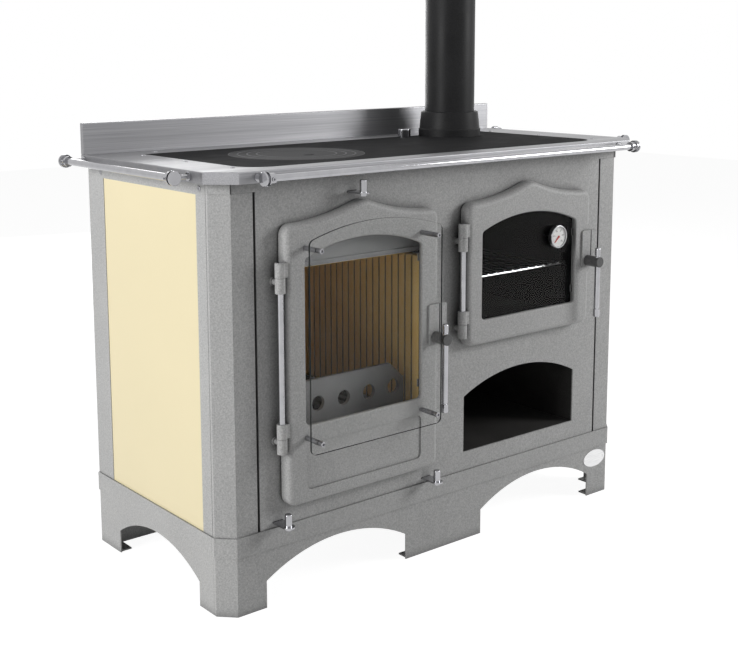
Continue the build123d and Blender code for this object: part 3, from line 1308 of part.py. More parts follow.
def air_deflector():
    """Hemmed sheet behind the top of the fire window that sends the top air down the glass."""
    left, right = firebox_bounds()
    face = DEFLECTOR_Y
    back = face + DEFLECTOR_SHEET
    low = DEFLECTOR_BOTTOM
    hem_top = low + DEFLECTOR_HEM
    sheet = block(left, right, face, back, low, low + DEFLECTOR_HEIGHT)
    hem = block(left, right, face - DEFLECTOR_HEM_PROUD, back, hem_top, hem_top + DEFLECTOR_HEM)
    return sheet + hem


def fire_grate():
    """Slotted cast grate between the two linings."""
    left, right = firebox_bounds()
    left += LINING_THICKNESS + FIT_GAP
    right -= LINING_THICKNESS + FIT_GAP
    rear = FIREBOX_DEPTH - LINING_THICKNESS - FIT_GAP
    top = GRATE_BOTTOM + GRATE_THICKNESS
    grate = block(left, right, LINING_FRONT, rear, GRATE_BOTTOM, top)
    middle = (left + right) / 2
    slots = int((right - left - 2 * GRATE_SIDE_BORDER) / GRATE_SLOT_PITCH) + 1
    for i in range(slots):
        x = middle + (i - (slots - 1) / 2) * GRATE_SLOT_PITCH
        grate -= block(x - GRATE_SLOT / 2, x + GRATE_SLOT / 2, LINING_FRONT + GRATE_BORDER,
                       rear - GRATE_BORDER, GRATE_BOTTOM - 1, top + 1)
    return grate


def log_retainer():
    """Upright plate on the grate's front edge, chamfered and drilled."""
    left, right = firebox_bounds()
    left += LINING_THICKNESS + RETAINER_SIDE_GAP
    right -= LINING_THICKNESS + RETAINER_SIDE_GAP
    foot = GRATE_BOTTOM + GRATE_THICKNESS
    shoulder = RETAINER_TOP - RETAINER_CHAMFER_DROP
    outline = Polyline(
        (left, foot), (right, foot), (right, shoulder),
        (right - RETAINER_CHAMFER_WIDTH, RETAINER_TOP),
        (left + RETAINER_CHAMFER_WIDTH, RETAINER_TOP), (left, shoulder), (left, foot))
    plate = through_y(make_face(outline.edges()), RETAINER_Y, RETAINER_Y + RETAINER_THICKNESS)
    middle = (left + right) / 2
    holes = int((right - left - 2 * RETAINER_END_MARGIN) / RETAINER_HOLE_PITCH) + 1
    for i in range(holes):
        x = middle + (i - (holes - 1) / 2) * RETAINER_HOLE_PITCH
        plate -= rod_y(x, 0, 2 * RETAINER_Y, RETAINER_HOLE_Z, RETAINER_HOLE_RADIUS)
    return plate


def ash_pan():
    """Folded ash pan under the grate, with a grip along its front."""
    low = FIREBOX_BOTTOM
    high = low + ASH_PAN_HEIGHT
    half = ASH_PAN_WIDTH / 2
    left, right = FIRE_DOOR_X - half, FIRE_DOOR_X + half
    wall = ASH_PAN_SHEET
    pan = block(left, right, ASH_PAN_FRONT, ASH_PAN_REAR, low, high)
    pan -= block(left + wall, right - wall, ASH_PAN_FRONT + wall, ASH_PAN_REAR - wall,
                 low + wall, high + 1)
    grip = block(left + half / 2, right - half / 2, ASH_PAN_FRONT - ASH_PAN_GRIP, ASH_PAN_FRONT,
                 high - wall, high)
    return pan + grip


# ---------------------------------------------------------------- oven and wood store

def oven_box():
    """Welded oven cavity behind its door, with two runners for the rack."""
    left, right, low, high = opening_bounds(OVEN_DOOR_X, OVEN_DOOR_BOTTOM)
    plates = open_box(left, right, SHEET, OVEN_REAR, low, high, OVEN_SHEET)
    runner_top = RACK_Z - RACK_WIRE
    for wall, inner in ((left, left + RUNNER_WIDTH), (right - RUNNER_WIDTH, right)):
        plates.append(block(wall, inner, RACK_FRONT, RACK_REAR, runner_top - RUNNER_SHEET,
                            runner_top))
    return plates


def oven_rack():
    """Wire rack: two stout cross wires with lighter rods along the oven."""
    left, right, _, _ = opening_bounds(OVEN_DOOR_X, OVEN_DOOR_BOTTOM)
    left += RACK_SIDE_GAP
    right -= RACK_SIDE_GAP
    rack = rod_x(left, right, RACK_FRONT, RACK_Z, RACK_WIRE)
    rack += rod_x(left, right, RACK_REAR - RACK_WIRE, RACK_Z, RACK_WIRE)
    middle = (left + right) / 2
    height = RACK_Z + RACK_WIRE + RACK_ROD - RACK_SUNK
    rods = int((right - left - 2 * RACK_END_MARGIN) / RACK_PITCH) + 1
    for i in range(rods):
        x = middle + (i - (rods - 1) / 2) * RACK_PITCH
        rack += rod_y(x, RACK_FRONT - RACK_ROD_PROUD, RACK_REAR, height, RACK_ROD)
    return rack


def wood_store():
    """Open store for firewood under the oven."""
    return open_box(STORE_LEFT, STORE_RIGHT, SHEET, STORE_REAR, STORE_BOTTOM, STORE_CEILING,
                    OVEN_SHEET)


def oval_plate():
    """Blank oval plate on the skirt, held by two rivets."""
    face = Pos(OVAL_X, OVAL_Z) * Ellipse(OVAL_WIDTH / 2, OVAL_HEIGHT / 2)
    plate = through_y(face, -OVAL_SHEET, 0)
    for side in (-1, 1):
        plate += rod_y(OVAL_X + side * OVAL_RIVET_HALF, -OVAL_SHEET - OVAL_RIVET_PROUD, 0, OVAL_Z,
                       OVAL_RIVET_RADIUS)
    return plate


# ---------------------------------------------------------------- air controls

def air_slide(x, top):
    """Flat tongue with a round tip, an upright knob, a nut below and a wide tail inside."""
    low = top - SLIDE_SHEET
    half = SLIDE_WIDTH / 2
    tongue = block(x - half, x + half, SLIDE_TIP + half, SLIDE_TAIL, low, top)
    tongue += rod_z(x, SLIDE_TIP + half, low, top, half)
    tail = SLIDE_TAIL_WIDTH / 2
    tongue += block(x - tail, x + tail, SLIDE_TAIL - SLIDE_TAIL_LENGTH, SLIDE_TAIL, low, top)
    knob = rod_z(x, SLIDE_KNOB_Y, top, top + SLIDE_KNOB_HEIGHT, SLIDE_KNOB_RADIUS)
    knob = fillet(knob.edges().group_by(Axis.Z)[-1], SLIDE_KNOB_ROUND)
    nut = Pos(x, SLIDE_KNOB_Y, low - SLIDE_NUT_HEIGHT) * extrude(
        RegularPolygon(SLIDE_NUT_RADIUS, 6), amount=SLIDE_NUT_HEIGHT)
    return tongue + knob + nut


# ---------------------------------------------------------------- write every piece

save("skirt_front", skirt_front())
save("skirt_sides", skirt_side(-1), skirt_side(1))
save("skirt_rear", skirt_rear())
save("base_band", *base_band())
save("base_tray", base_tray())
save("corner_post_left", corner_post(-1))
save("corner_post_right", corner_post(1))
save("front_panel", front_panel())
save("side_frame_left", side_frame(-1))
save("side_frame_right", side_frame(1))
save("cream_panels", cream_panel(-1), cream_panel(1))
save("back_panel", back_panel())
save("top_deck", top_deck())
save("hob_frame", hob_frame())
save("hob_plate", hob_plate())
save("hob_rings", *hob_rings())
save("hob_lid", hob_lid())
save("small_screws", *small_screws())
save("backsplash", backsplash())
save("flue_collar", flue_collar())
save("flue_pipe", flue_pipe())
save("damper_knob", damper_knob())
save("damper_flap", damper_flap())
rail_tubes, rail_caps, rail_posts = all_rails()
save("rails", *rail_tubes)
save("rail_caps", *rail_caps)
save("rail_posts", *rail_posts)
save("firebox_shell", *firebox_shell())
save("smoke_duct", *smoke_duct())
save("lining_back", lining_back())
save("lining_sides", lining_side(firebox_bounds()[0], 1), lining_side(firebox_bounds()[1], -1))
save("baffle", baffle())
save("air_deflector", air_deflector())
save("fire_grate", fire_grate())
save("log_retainer", log_retainer())
save("ash_pan", ash_pan())
save("oven_box", *oven_box())
save("oven_rack", oven_rack())
save("wood_store", *wood_store())
save("oval_plate", oval_plate())
save("hinge_brackets",
     hinge_bracket(FIRE_DOOR_X, FIRE_HINGE_LOW), hinge_bracket(FIRE_DOOR_X, FIRE_HINGE_HIGH),
     hinge_bracket(OVEN_DOOR_X, OVEN_HINGE_LOW), hinge_bracket(OVEN_DOOR_X, OVEN_HINGE_HIGH))
save("hinge_rods",
     hinge_rod(FIRE_DOOR_X, FIRE_HINGE_LOW, FIRE_HINGE_HIGH),
     hinge_rod(OVEN_DOOR_X, OVEN_HINGE_LOW, OVEN_HINGE_HIGH))
save("air_slide_left", air_slide(LEFT_SLIDE_X, LOW_SLIDE_TOP))
save("air_slide_right", air_slide(RIGHT_SLIDE_X, LOW_SLIDE_TOP))
save("air_slide_top", air_slide(TOP_SLIDE_X, HIGH_SLIDE_TOP))
save("fire_door", fire_door())
save("fire_door_glass",
     door_glass(FIRE_WINDOW_X, FIRE_WINDOW_BOTTOM, FIRE_WINDOW_SIDE, FIRE_WINDOW_CROWN))
save("fire_door_seal",
     door_seal(FIRE_DOOR_X, FIRE_DOOR_BOTTOM, DOOR_BACK - SEAL_GROOVE, -SEAL_CLEAR))
save("fire_door_fittings",
     latch(FIRE_DOOR_X, FIRE_LATCH_BOTTOM),
     door_knuckle(FIRE_DOOR_X, FIRE_HINGE_LOW), door_knuckle(FIRE_DOOR_X, FIRE_HINGE_HIGH),
     *glass_clips(FIRE_WINDOW_X, FIRE_WINDOW_BOTTOM + DOOR_POCKET_FOOT,
                  FIRE_WINDOW_SIDE - DOOR_POCKET_FOOT))
save("screen_glass", screen_glass())
save("screen_posts", *[screen_post(x, z) for x, z in screen_post_places()])
save("fire_handle_knob", handle_knob(FIRE_DOOR_X, FIRE_LATCH_BOTTOM))
save("fire_handle_bar", handle_bar(FIRE_DOOR_X, FIRE_LATCH_BOTTOM, FIRE_BAR_DROP))
save("oven_door", oven_door())
save("oven_door_glass",
     door_glass(OVEN_WINDOW_X, OVEN_WINDOW_BOTTOM, OVEN_WINDOW_SIDE, OVEN_WINDOW_CROWN)
     - rod_y(DIAL_X, DOOR_FRONT, 0, DIAL_Z, DIAL_STEM_RADIUS + FIT_GAP))
save("oven_door_seal",
     door_seal(OVEN_DOOR_X, OVEN_DOOR_BOTTOM, DOOR_BACK - SEAL_GROOVE, -SEAL_CLEAR))
save("oven_door_fittings",
     latch(OVEN_DOOR_X, OVEN_LATCH_BOTTOM),
     door_knuckle(OVEN_DOOR_X, OVEN_HINGE_LOW), door_knuckle(OVEN_DOOR_X, OVEN_HINGE_HIGH),
     *glass_clips(OVEN_WINDOW_X, OVEN_WINDOW_BOTTOM + DOOR_POCKET_FOOT,
                  OVEN_WINDOW_SIDE - DOOR_POCKET_FOOT))
save("oven_handle_knob", handle_knob(OVEN_DOOR_X, OVEN_LATCH_BOTTOM))
save("oven_handle_bar", handle_bar(OVEN_DOOR_X, OVEN_LATCH_BOTTOM, OVEN_BAR_DROP))
save("thermometer", thermometer())
save("thermometer_needle", thermometer_needle())
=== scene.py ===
import json
import logging
import math
from collections.abc import Callable
from dataclasses import dataclass
from enum import Enum

import bpy
from mathutils import Matrix, Vector


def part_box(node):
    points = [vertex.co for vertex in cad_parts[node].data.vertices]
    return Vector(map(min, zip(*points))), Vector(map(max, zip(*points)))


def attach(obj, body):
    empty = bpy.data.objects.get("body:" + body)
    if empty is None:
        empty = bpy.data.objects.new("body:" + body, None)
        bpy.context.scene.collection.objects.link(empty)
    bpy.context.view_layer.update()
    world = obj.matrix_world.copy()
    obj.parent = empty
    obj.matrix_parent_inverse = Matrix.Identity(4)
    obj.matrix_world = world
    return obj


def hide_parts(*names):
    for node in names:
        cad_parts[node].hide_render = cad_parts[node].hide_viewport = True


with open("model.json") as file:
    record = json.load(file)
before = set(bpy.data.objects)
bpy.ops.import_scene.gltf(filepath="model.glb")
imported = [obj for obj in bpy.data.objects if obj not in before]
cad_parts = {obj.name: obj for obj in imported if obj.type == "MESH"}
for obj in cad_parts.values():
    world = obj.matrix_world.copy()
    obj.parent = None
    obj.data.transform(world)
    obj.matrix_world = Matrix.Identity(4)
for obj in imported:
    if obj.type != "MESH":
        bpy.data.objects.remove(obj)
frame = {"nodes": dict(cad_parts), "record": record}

# Looks of a wood-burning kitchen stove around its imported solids. Lengths are metres, in the
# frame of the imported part: +Z up, -Y towards the user, origin on the floor under the middle.

LOG = logging.getLogger("cookstove")

Material = bpy.types.Material
World = bpy.types.World
Node = bpy.types.Node
Socket = bpy.types.NodeSocket
Object = bpy.types.Object
Inputs = dict[str | int, object]
Band = tuple[float, float]
Point = tuple[float, float, float]

WHITE = (1.0, 1.0, 1.0, 1.0)

# Nearly all values of a noise texture lie in this band.
NOISE_BAND = (0.3, 0.7)

# Sockets of a Mix node that mixes colours. Several share a name, so they go by number.
MIX_SHARE, MIX_FROM, MIX_TO, MIX_OUT = 0, 6, 7, 2

# A face looks along an axis if its normal's part along that axis is over this.
FACING = 0.9


# ---------------------------------------------------------------- shader helpers

def srgb(code: str) -> tuple[float, float, float, float]:
    """Turn an sRGB hex colour into linear RGBA, with the numbers of the sRGB standard.

    Args:
        code: Six hex digits, such as "8b8c8c".

    Returns:
        Linear red, green, blue and an alpha of 1.
    """
    channels = [int(code[start:start + 2], 16) / 255 for start in (0, 2, 4)]
    red, green, blue = [value / 12.92 if value <= 0.04045 else ((value + 0.055) / 1.055) ** 2.4
                        for value in channels]
    return (red, green, blue, 1.0)


def new_material(name: str) -> Material:
    """Make an empty node material.

    Args:
        name: Name of the finish.

    Returns:
        The material, with no nodes in it.
    """
    material = bpy.data.materials.new(name)
    material.use_nodes = True
    material.node_tree.nodes.clear()
    return material


def add_node(owner: Material | World, kind: str, inputs: Inputs | None = None,
             **settings: str | int) -> Node:
    """Add one node to a material or the world, with its settings and links.

    Args:
        owner: The material or world that gets the node.
        kind: Blender's name of the node type.
        inputs: Socket name or number to a value, or to a socket to link from.
        settings: Plain properties of the node.

    Returns:
        The new node.
    """
    node = owner.node_tree.nodes.new(kind)
    for key, value in settings.items():
        setattr(node, key, value)
    for key, value in (inputs or {}).items():
        if isinstance(value, Socket):
            owner.node_tree.links.new(value, node.inputs[key])
        else:
            node.inputs[key].default_value = value
    return node


# ---------------------------------------------------------------- finishes

@dataclass(frozen=True)
class Finish:
    """What all finishes share: two tones, a roughness, a relief in metres and a gloss.

    On an uneven skin a noise carries the roughness over wear_band, from `smoother` below its
    value to `rougher` above it.
    """

    name: str
    light: str
    dark: str
    roughness: float
    smoother: float = 0.0
    rougher: float = 0.06
    wear_band: Band = NOISE_BAND
    relief: float = 0.0001
    relief_strength: float = 1.0
    metallic: float = 0.0
    gloss: float = 0.5

    def build(self) -> Material:
        """Build the finish; each kind of finish has its own way."""
        raise NotImplementedError(self.name)

    def begin(self) -> tuple[Material, Socket]:
        """Start the material, and give it with the coordinates of the object that wears it."""
        skin = new_material(self.name)
        return skin, add_node(skin, "ShaderNodeTexCoord").outputs["Object"]

    def coat(self, skin: Material, colour: Socket, wear: Socket | None = None,
             height: Socket | None = None) -> Material:
        """Close the material with its shader and output.

        Args:
            skin: Material that gets the coat.
            colour: Colour of the skin.
            wear: Noise that the roughness follows, or none where the skin is even.
            height: Noise that the relief follows, or none where the skin is flat.

        Returns:
            The material.
        """
        inputs = {"Base Color": colour, "Metallic": self.metallic, "Roughness": self.roughness,
                  "Specular IOR Level": self.gloss}
        if wear is not None:
            low, high = self.wear_band
            rough = add_node(skin, "ShaderNodeMapRange",
                             {"Value": wear, "From Min": low, "From Max": high,
                              "To Min": self.roughness - self.smoother,
                              "To Max": self.roughness + self.rougher})
            inputs["Roughness"] = rough.outputs["Result"]
        if height is not None:
            raised = add_node(skin, "ShaderNodeBump",
                              {"Height": height, "Distance": self.relief,
                               "Strength": self.relief_strength})
            inputs["Normal"] = raised.outputs["Normal"]
        shader = add_node(skin, "ShaderNodeBsdfPrincipled", inputs)
        add_node(skin, "ShaderNodeOutputMaterial", {"Surface": shader.outputs[0]})
        return skin


@dataclass(frozen=True)
class TexturedEnamel(Finish):
    """Steel sheet and cast doors under a baked paint with a fine leathery grain.

    The eye gets a dry satin grey, peppered with specks a few millimetres apart, with painted
    shade in its corners.
    """

    name: str = "grey textured enamel"
    light: str = "c3c3c2"
    dark: str = "a4a4a4"
    roughness: float = 0.5
    smoother: float = 0.06
    rougher: float = 0.08
    wear_band: Band = (0.35, 0.65)
    relief: float = 0.00022
    gloss: float = 0.35
    grain: float = 0.0021
    fleck: float = 0.0034
    cloud: float = 0.14
    cloud_share: float = 0.25
    tones: Band = (0.87, 1.38)
    # Painted shade in the corners: its dark grey, its reach, the occlusion band it spans and its
    # samples.
    corner_shade: str = "4c4c4c"
    corner_shade_reach: float = 0.03
    corner_shade_band: Band = (0.1, 0.82)
    corner_shade_samples: int = 6

    def build(self) -> Material:
        """Build the paint: real grain is about 1 mm, drawn at 2 mm so that it shows.

        Painted shade darkens the corners, where the skin faces a wall up to 30 mm away.

        Returns:
            The material.
        """
        paint, place = self.begin()
        speck = add_node(paint, "ShaderNodeTexNoise",
                         {"Vector": place, "Scale": 1 / self.grain, "Detail": 2.0})
        fleck = add_node(paint, "ShaderNodeTexNoise",
                         {"Vector": place, "Scale": 1 / self.fleck, "Detail": 3.0})
        cloud = add_node(paint, "ShaderNodeTexNoise",
                         {"Vector": place, "Scale": 1 / self.cloud, "Detail": 3.0})
        both = add_node(paint, "ShaderNodeMath",
                        {0: speck.outputs["Fac"], 1: fleck.outputs["Fac"]}, operation="ADD")
        third = add_node(paint, "ShaderNodeMath",
                         {0: cloud.outputs["Fac"], 1: self.cloud_share, 2: both.outputs[0]},
                         operation="MULTIPLY_ADD")
        tone = add_node(paint, "ShaderNodeMapRange",
                        {"Value": third.outputs[0], "From Min": self.tones[0],
                         "From Max": self.tones[1]})
        unshaded_tone = add_node(paint, "ShaderNodeMix",
                         {MIX_SHARE: tone.outputs["Result"], MIX_FROM: srgb(self.dark),
                          MIX_TO: srgb(self.light)}, data_type="RGBA")
        # Painted shade: ambient occlusion darkens the paint towards a dark grey in corners
        # within 30 mm.
        occlusion = add_node(paint, "ShaderNodeAmbientOcclusion", {"Distance": self.corner_shade_reach},
                          samples=self.corner_shade_samples)
        unoccluded = add_node(paint, "ShaderNodeMapRange",
                             {"Value": occlusion.outputs["AO"], "From Min": self.corner_shade_band[0],
                              "From Max": self.corner_shade_band[1]})
        corner_shaded = add_node(paint, "ShaderNodeMix",
                         {MIX_SHARE: unoccluded.outputs["Result"], MIX_FROM: srgb(self.corner_shade),
                          MIX_TO: unshaded_tone.outputs[MIX_OUT]}, data_type="RGBA")
        return self.coat(paint, corner_shaded.outputs[MIX_OUT], speck.outputs["Fac"],
                         speck.outputs["Fac"])


@dataclass(frozen=True)
class GlossEnamel(Finish):
    """Smooth enamel fired on steel sheet.

    The eye gets an even, glossy colour with a faint long ripple.
    """

    name: str = "cream enamel"
    light: str = "f2e5be"
    dark: str = "eee1b8"
    roughness: float = 0.3
    ripple: float = 0.03
    cloud: float = 0.2

    def build(self) -> Material:
        """Build the enamel, with a ripple of the sheet's own 30 mm waves.

        Returns:
            The material.
        """
        enamel, place = self.begin()
        wave = add_node(enamel, "ShaderNodeTexNoise",
                        {"Vector": place, "Scale": 1 / self.ripple, "Detail": 1.0})
        cloud = add_node(enamel, "ShaderNodeTexNoise",
                         {"Vector": place, "Scale": 1 / self.cloud, "Detail": 3.0})
        colour = add_node(enamel, "ShaderNodeMix",
                          {MIX_SHARE: cloud.outputs["Fac"], MIX_FROM: srgb(self.dark),
                           MIX_TO: srgb(self.light)}, data_type="RGBA")
        return self.coat(enamel, colour.outputs[MIX_OUT], cloud.outputs["Fac"],
                         wave.outputs["Fac"])


@dataclass(frozen=True)
class BrushedSteel(Finish):
    """Stainless steel brushed along x.

    The eye gets soft streaks that run the length of the sheet.
    """

    name: str = "brushed stainless steel"
    light: str = "9b9b9d"
    dark: str = "88888b"
    roughness: float = 0.36
    rougher: float = 0.12
    relief: float = 0.00003
    relief_strength: float = 0.5
    metallic: float = 1.0
    line: float = 0.0014
    draw: float = 0.006
    smear: float = 0.03

    def build(self) -> Material:
        """Build the steel: brush lines are under 0.5 mm, drawn at 1.4 mm so that they show.

        Returns:
            The material.
        """
        steel, place = self.begin()
        along = add_node(steel, "ShaderNodeMapping",
                         {"Vector": place, "Scale": (self.draw, 1.0, 1.0)})
        lines = add_node(steel, "ShaderNodeTexNoise",
                         {"Vector": along.outputs["Vector"], "Scale": 1 / self.line,
                          "Detail": 3.0})
        smear = add_node(steel, "ShaderNodeTexNoise",
                         {"Vector": along.outputs["Vector"], "Scale": 1 / self.smear,
                          "Detail": 3.0})
        tone = add_node(steel, "ShaderNodeMapRange",
                        {"Value": lines.outputs["Fac"], "From Min": NOISE_BAND[0],
                         "From Max": NOISE_BAND[1]})
        colour = add_node(steel, "ShaderNodeMix",
                          {MIX_SHARE: tone.outputs["Result"], MIX_FROM: srgb(self.dark),
                           MIX_TO: srgb(self.light)}, data_type="RGBA")
        return self.coat(steel, colour.outputs[MIX_OUT], smear.outputs["Fac"],
                         lines.outputs["Fac"])


@dataclass(frozen=True)
class GroundIron(Finish):
    """Cast iron ground flat for a cooking top.

    The eye gets near-black grey with cloudy grinding marks and hardly any sheen.
    """

    name: str = "ground cast iron"
    light: str = "3a3a3b"
    dark: str = "2b2b2c"
    roughness: float = 0.56
    rougher: float = 0.14
    relief: float = 0.00012
    gloss: float = 0.01
    pit: float = 0.002
    mark: float = 0.006
    draw: float = 0.06
    cloud: float = 0.05
    tones: Band = (0.7, 1.3)

    def build(self) -> Material:
        """Build the iron: grinding marks run along x, pits are about 2 mm apart.

        Returns:
            The material.
        """
        iron, place = self.begin()
        along = add_node(iron, "ShaderNodeMapping",
                         {"Vector": place, "Scale": (self.draw, 1.0, 1.0)})
        pits = add_node(iron, "ShaderNodeTexNoise",
                        {"Vector": place, "Scale": 1 / self.pit, "Detail": 3.0})
        marks = add_node(iron, "ShaderNodeTexNoise",
                         {"Vector": along.outputs["Vector"], "Scale": 1 / self.mark,
                          "Detail": 4.0})
        cloud = add_node(iron, "ShaderNodeTexNoise",
                         {"Vector": place, "Scale": 1 / self.cloud, "Detail": 4.0})
        both = add_node(iron, "ShaderNodeMath",
                        {0: marks.outputs["Fac"], 1: cloud.outputs["Fac"]}, operation="ADD")
        tone = add_node(iron, "ShaderNodeMapRange",
                        {"Value": both.outputs[0], "From Min": self.tones[0],
                         "From Max": self.tones[1]})
        colour = add_node(iron, "ShaderNodeMix",
                          {MIX_SHARE: tone.outputs["Result"], MIX_FROM: srgb(self.dark),
                           MIX_TO: srgb(self.light)}, data_type="RGBA")
        return self.coat(iron, colour.outputs[MIX_OUT], cloud.outputs["Fac"],
                         pits.outputs["Fac"])


@dataclass(frozen=True)
class TurnedIron(Finish):
    """Cast iron faced on a lathe, for the hob rings and their lid.

    The eye gets faint circles, and a bright worn rim where one ring meets the next.
    """

    name: str = "turned cast iron"
    light: str = "3a3a3b"
    dark: str = "2a2a2b"
    roughness: float = 0.5
    gloss: float = 0.03
    centre: tuple[float, float] = (-0.24, -0.00475)
    groove: float = 0.003
    rim: str = "6e6e70"
    rim_width: float = 0.0013
    rim_fade: float = 1.5
    outer_seam: float = 0.1421
    seam_pitch: float = 0.0197
    lid_seam: float = 0.0830

    def build(self) -> Material:
        """Build the iron: worn rims are under 1 mm wide, drawn at 1.3 mm so that they show.

        Returns:
            The material.
        """
        iron, place = self.begin()
        flat = add_node(iron, "ShaderNodeMapping",
                        {"Vector": place, "Location": (-self.centre[0], -self.centre[1], 0.0),
                         "Scale": (1.0, 1.0, 0.0)})
        radius = add_node(iron, "ShaderNodeVectorMath", {0: flat.outputs["Vector"]},
                          operation="LENGTH").outputs["Value"]
        circles = add_node(iron, "ShaderNodeTexNoise",
                           {"W": radius, "Scale": 1 / self.groove, "Detail": 2.0},
                           noise_dimensions="1D")
        colour = add_node(iron, "ShaderNodeMix",
                          {MIX_SHARE: circles.outputs["Fac"], MIX_FROM: srgb(self.dark),
                           MIX_TO: srgb(self.light)}, data_type="RGBA")
        inwards = add_node(iron, "ShaderNodeMath", {0: radius, 1: self.outer_seam},
                           operation="SUBTRACT")
        gap = add_node(iron, "ShaderNodeMath",
                       {0: inwards.outputs[0], 1: self.seam_pitch / 2}, operation="PINGPONG")
        worn = add_node(iron, "ShaderNodeMapRange",
                        {"Value": gap.outputs[0], "From Min": self.rim_width,
                         "From Max": self.rim_width * self.rim_fade,
                         "To Min": 1.0, "To Max": 0.0})
        ringed = add_node(iron, "ShaderNodeMath",
                          {0: radius, 1: self.lid_seam - 2 * self.rim_width},
                          operation="GREATER_THAN")
        rims = add_node(iron, "ShaderNodeMath",
                        {0: worn.outputs["Result"], 1: ringed.outputs[0]}, operation="MULTIPLY")
        faced = add_node(iron, "ShaderNodeMix",
                         {MIX_SHARE: rims.outputs[0], MIX_FROM: colour.outputs[MIX_OUT],
                          MIX_TO: srgb(self.rim)}, data_type="RGBA")
        return self.coat(iron, faced.outputs[MIX_OUT])


@dataclass(frozen=True)
class MattPaint(Finish):
    """Heat-proof paint or dull oxide on steel.

    The eye gets a dry dark skin with a powdery grain and hardly any gloss.
    """

    name: str = "matt black stove paint"
    light: str = "2e2e2f"
    dark: str = "222223"
    roughness: float = 0.42
    smoother: float = 0.05
    rougher: float = 0.08
    gloss: float = 0.12
    grain: float = 0.0025
    cloud: float = 0.09
    tones: Band = (0.75, 1.25)

    def build(self) -> Material:
        """Build the paint, with a powder grain drawn at 2.5 mm so that it shows.

        Returns:
            The material.
        """
        paint, place = self.begin()
        speck = add_node(paint, "ShaderNodeTexNoise",
                         {"Vector": place, "Scale": 1 / self.grain, "Detail": 2.0})
        cloud = add_node(paint, "ShaderNodeTexNoise",
                         {"Vector": place, "Scale": 1 / self.cloud, "Detail": 4.0})
        both = add_node(paint, "ShaderNodeMath",
                        {0: speck.outputs["Fac"], 1: cloud.outputs["Fac"]}, operation="ADD")
        tone = add_node(paint, "ShaderNodeMapRange",
                        {"Value": both.outputs[0], "From Min": self.tones[0],
                         "From Max": self.tones[1]})
        colour = add_node(paint, "ShaderNodeMix",
                          {MIX_SHARE: tone.outputs["Result"], MIX_FROM: srgb(self.dark),
                           MIX_TO: srgb(self.light)}, data_type="RGBA")
        return self.coat(paint, colour.outputs[MIX_OUT], cloud.outputs["Fac"],
                         speck.outputs["Fac"])


@dataclass(frozen=True)
class PolishedPlate(Finish):
    """Bright plating, polished and wiped.

    The eye gets sharp bands of the room, slightly dulled by hairlines.
    """

    name: str = "polished chrome"
    light: str = "b4b4b7"
    dark: str = "9c9c9f"
    roughness: float = 0.06
    relief: float = 0.00001
    relief_strength: float = 0.3
    metallic: float = 1.0
    hairline: float = 0.0012
    draw: float = 0.1
    smear: float = 0.02

    def build(self) -> Material:
        """Build the plating: hairlines are far under 1 mm, drawn at 1.2 mm so that they show.

        Returns:
            The material.
        """
        chrome, place = self.begin()
        along = add_node(chrome, "ShaderNodeMapping",
                         {"Vector": place, "Scale": (self.draw, 1.0, 1.0)})
        smear = add_node(chrome, "ShaderNodeTexNoise",
                         {"Vector": place, "Scale": 1 / self.smear, "Detail": 3.0})
        hair = add_node(chrome, "ShaderNodeTexNoise",
                        {"Vector": along.outputs["Vector"], "Scale": 1 / self.hairline,
                         "Detail": 1.0})
        colour = add_node(chrome, "ShaderNodeMix",
                          {MIX_SHARE: smear.outputs["Fac"], MIX_FROM: srgb(self.dark),
                           MIX_TO: srgb(self.light)}, data_type="RGBA")
        return self.coat(chrome, colour.outputs[MIX_OUT], smear.outputs["Fac"],
                         hair.outputs["Fac"])


@dataclass(frozen=True)
class CeramicGlass(Finish):
    """Clear ceramic glass with a thin film of haze.

    The eye sees through it, with a faint reflection of the room.
    """

    name: str = "clear ceramic glass"
    light: str = "fefefe"
    dark: str = "f8f9f8"
    roughness: float = 0.0
    rougher: float = 0.01
    index: float = 1.13
    film: float = 0.08

    def build(self) -> Material:
        """Build the glass, which lets lamplight straight through to what lies behind.

        Its index is below real glass, to match the faint reflection on the photographed panes.

        Returns:
            The material.
        """
        glass, place = self.begin()
        film = add_node(glass, "ShaderNodeTexNoise",
                        {"Vector": place, "Scale": 1 / self.film, "Detail": 2.0})
        colour = add_node(glass, "ShaderNodeMix",
                          {MIX_SHARE: film.outputs["Fac"], MIX_FROM: srgb(self.dark),
                           MIX_TO: srgb(self.light)}, data_type="RGBA")
        rough = add_node(glass, "ShaderNodeMapRange",
                         {"Value": film.outputs["Fac"], "From Min": self.wear_band[0],
                          "From Max": self.wear_band[1], "To Min": self.roughness,
                          "To Max": self.roughness + self.rougher})
        shader = add_node(glass, "ShaderNodeBsdfPrincipled",
                          {"Base Color": colour.outputs[MIX_OUT],
                           "Roughness": rough.outputs["Result"],
                           "Transmission Weight": 1.0, "IOR": self.index})
        clear = add_node(glass, "ShaderNodeBsdfTransparent")
        path = add_node(glass, "ShaderNodeLightPath")
        lit = add_node(glass, "ShaderNodeMath",
                       {0: path.outputs["Is Shadow Ray"], 1: path.outputs["Is Diffuse Ray"]},
                       operation="MAXIMUM")
        mix = add_node(glass, "ShaderNodeMixShader",
                       {0: lit.outputs[0], 1: shader.outputs[0], 2: clear.outputs[0]})
        add_node(glass, "ShaderNodeOutputMaterial", {"Surface": mix.outputs[0]})
        return glass


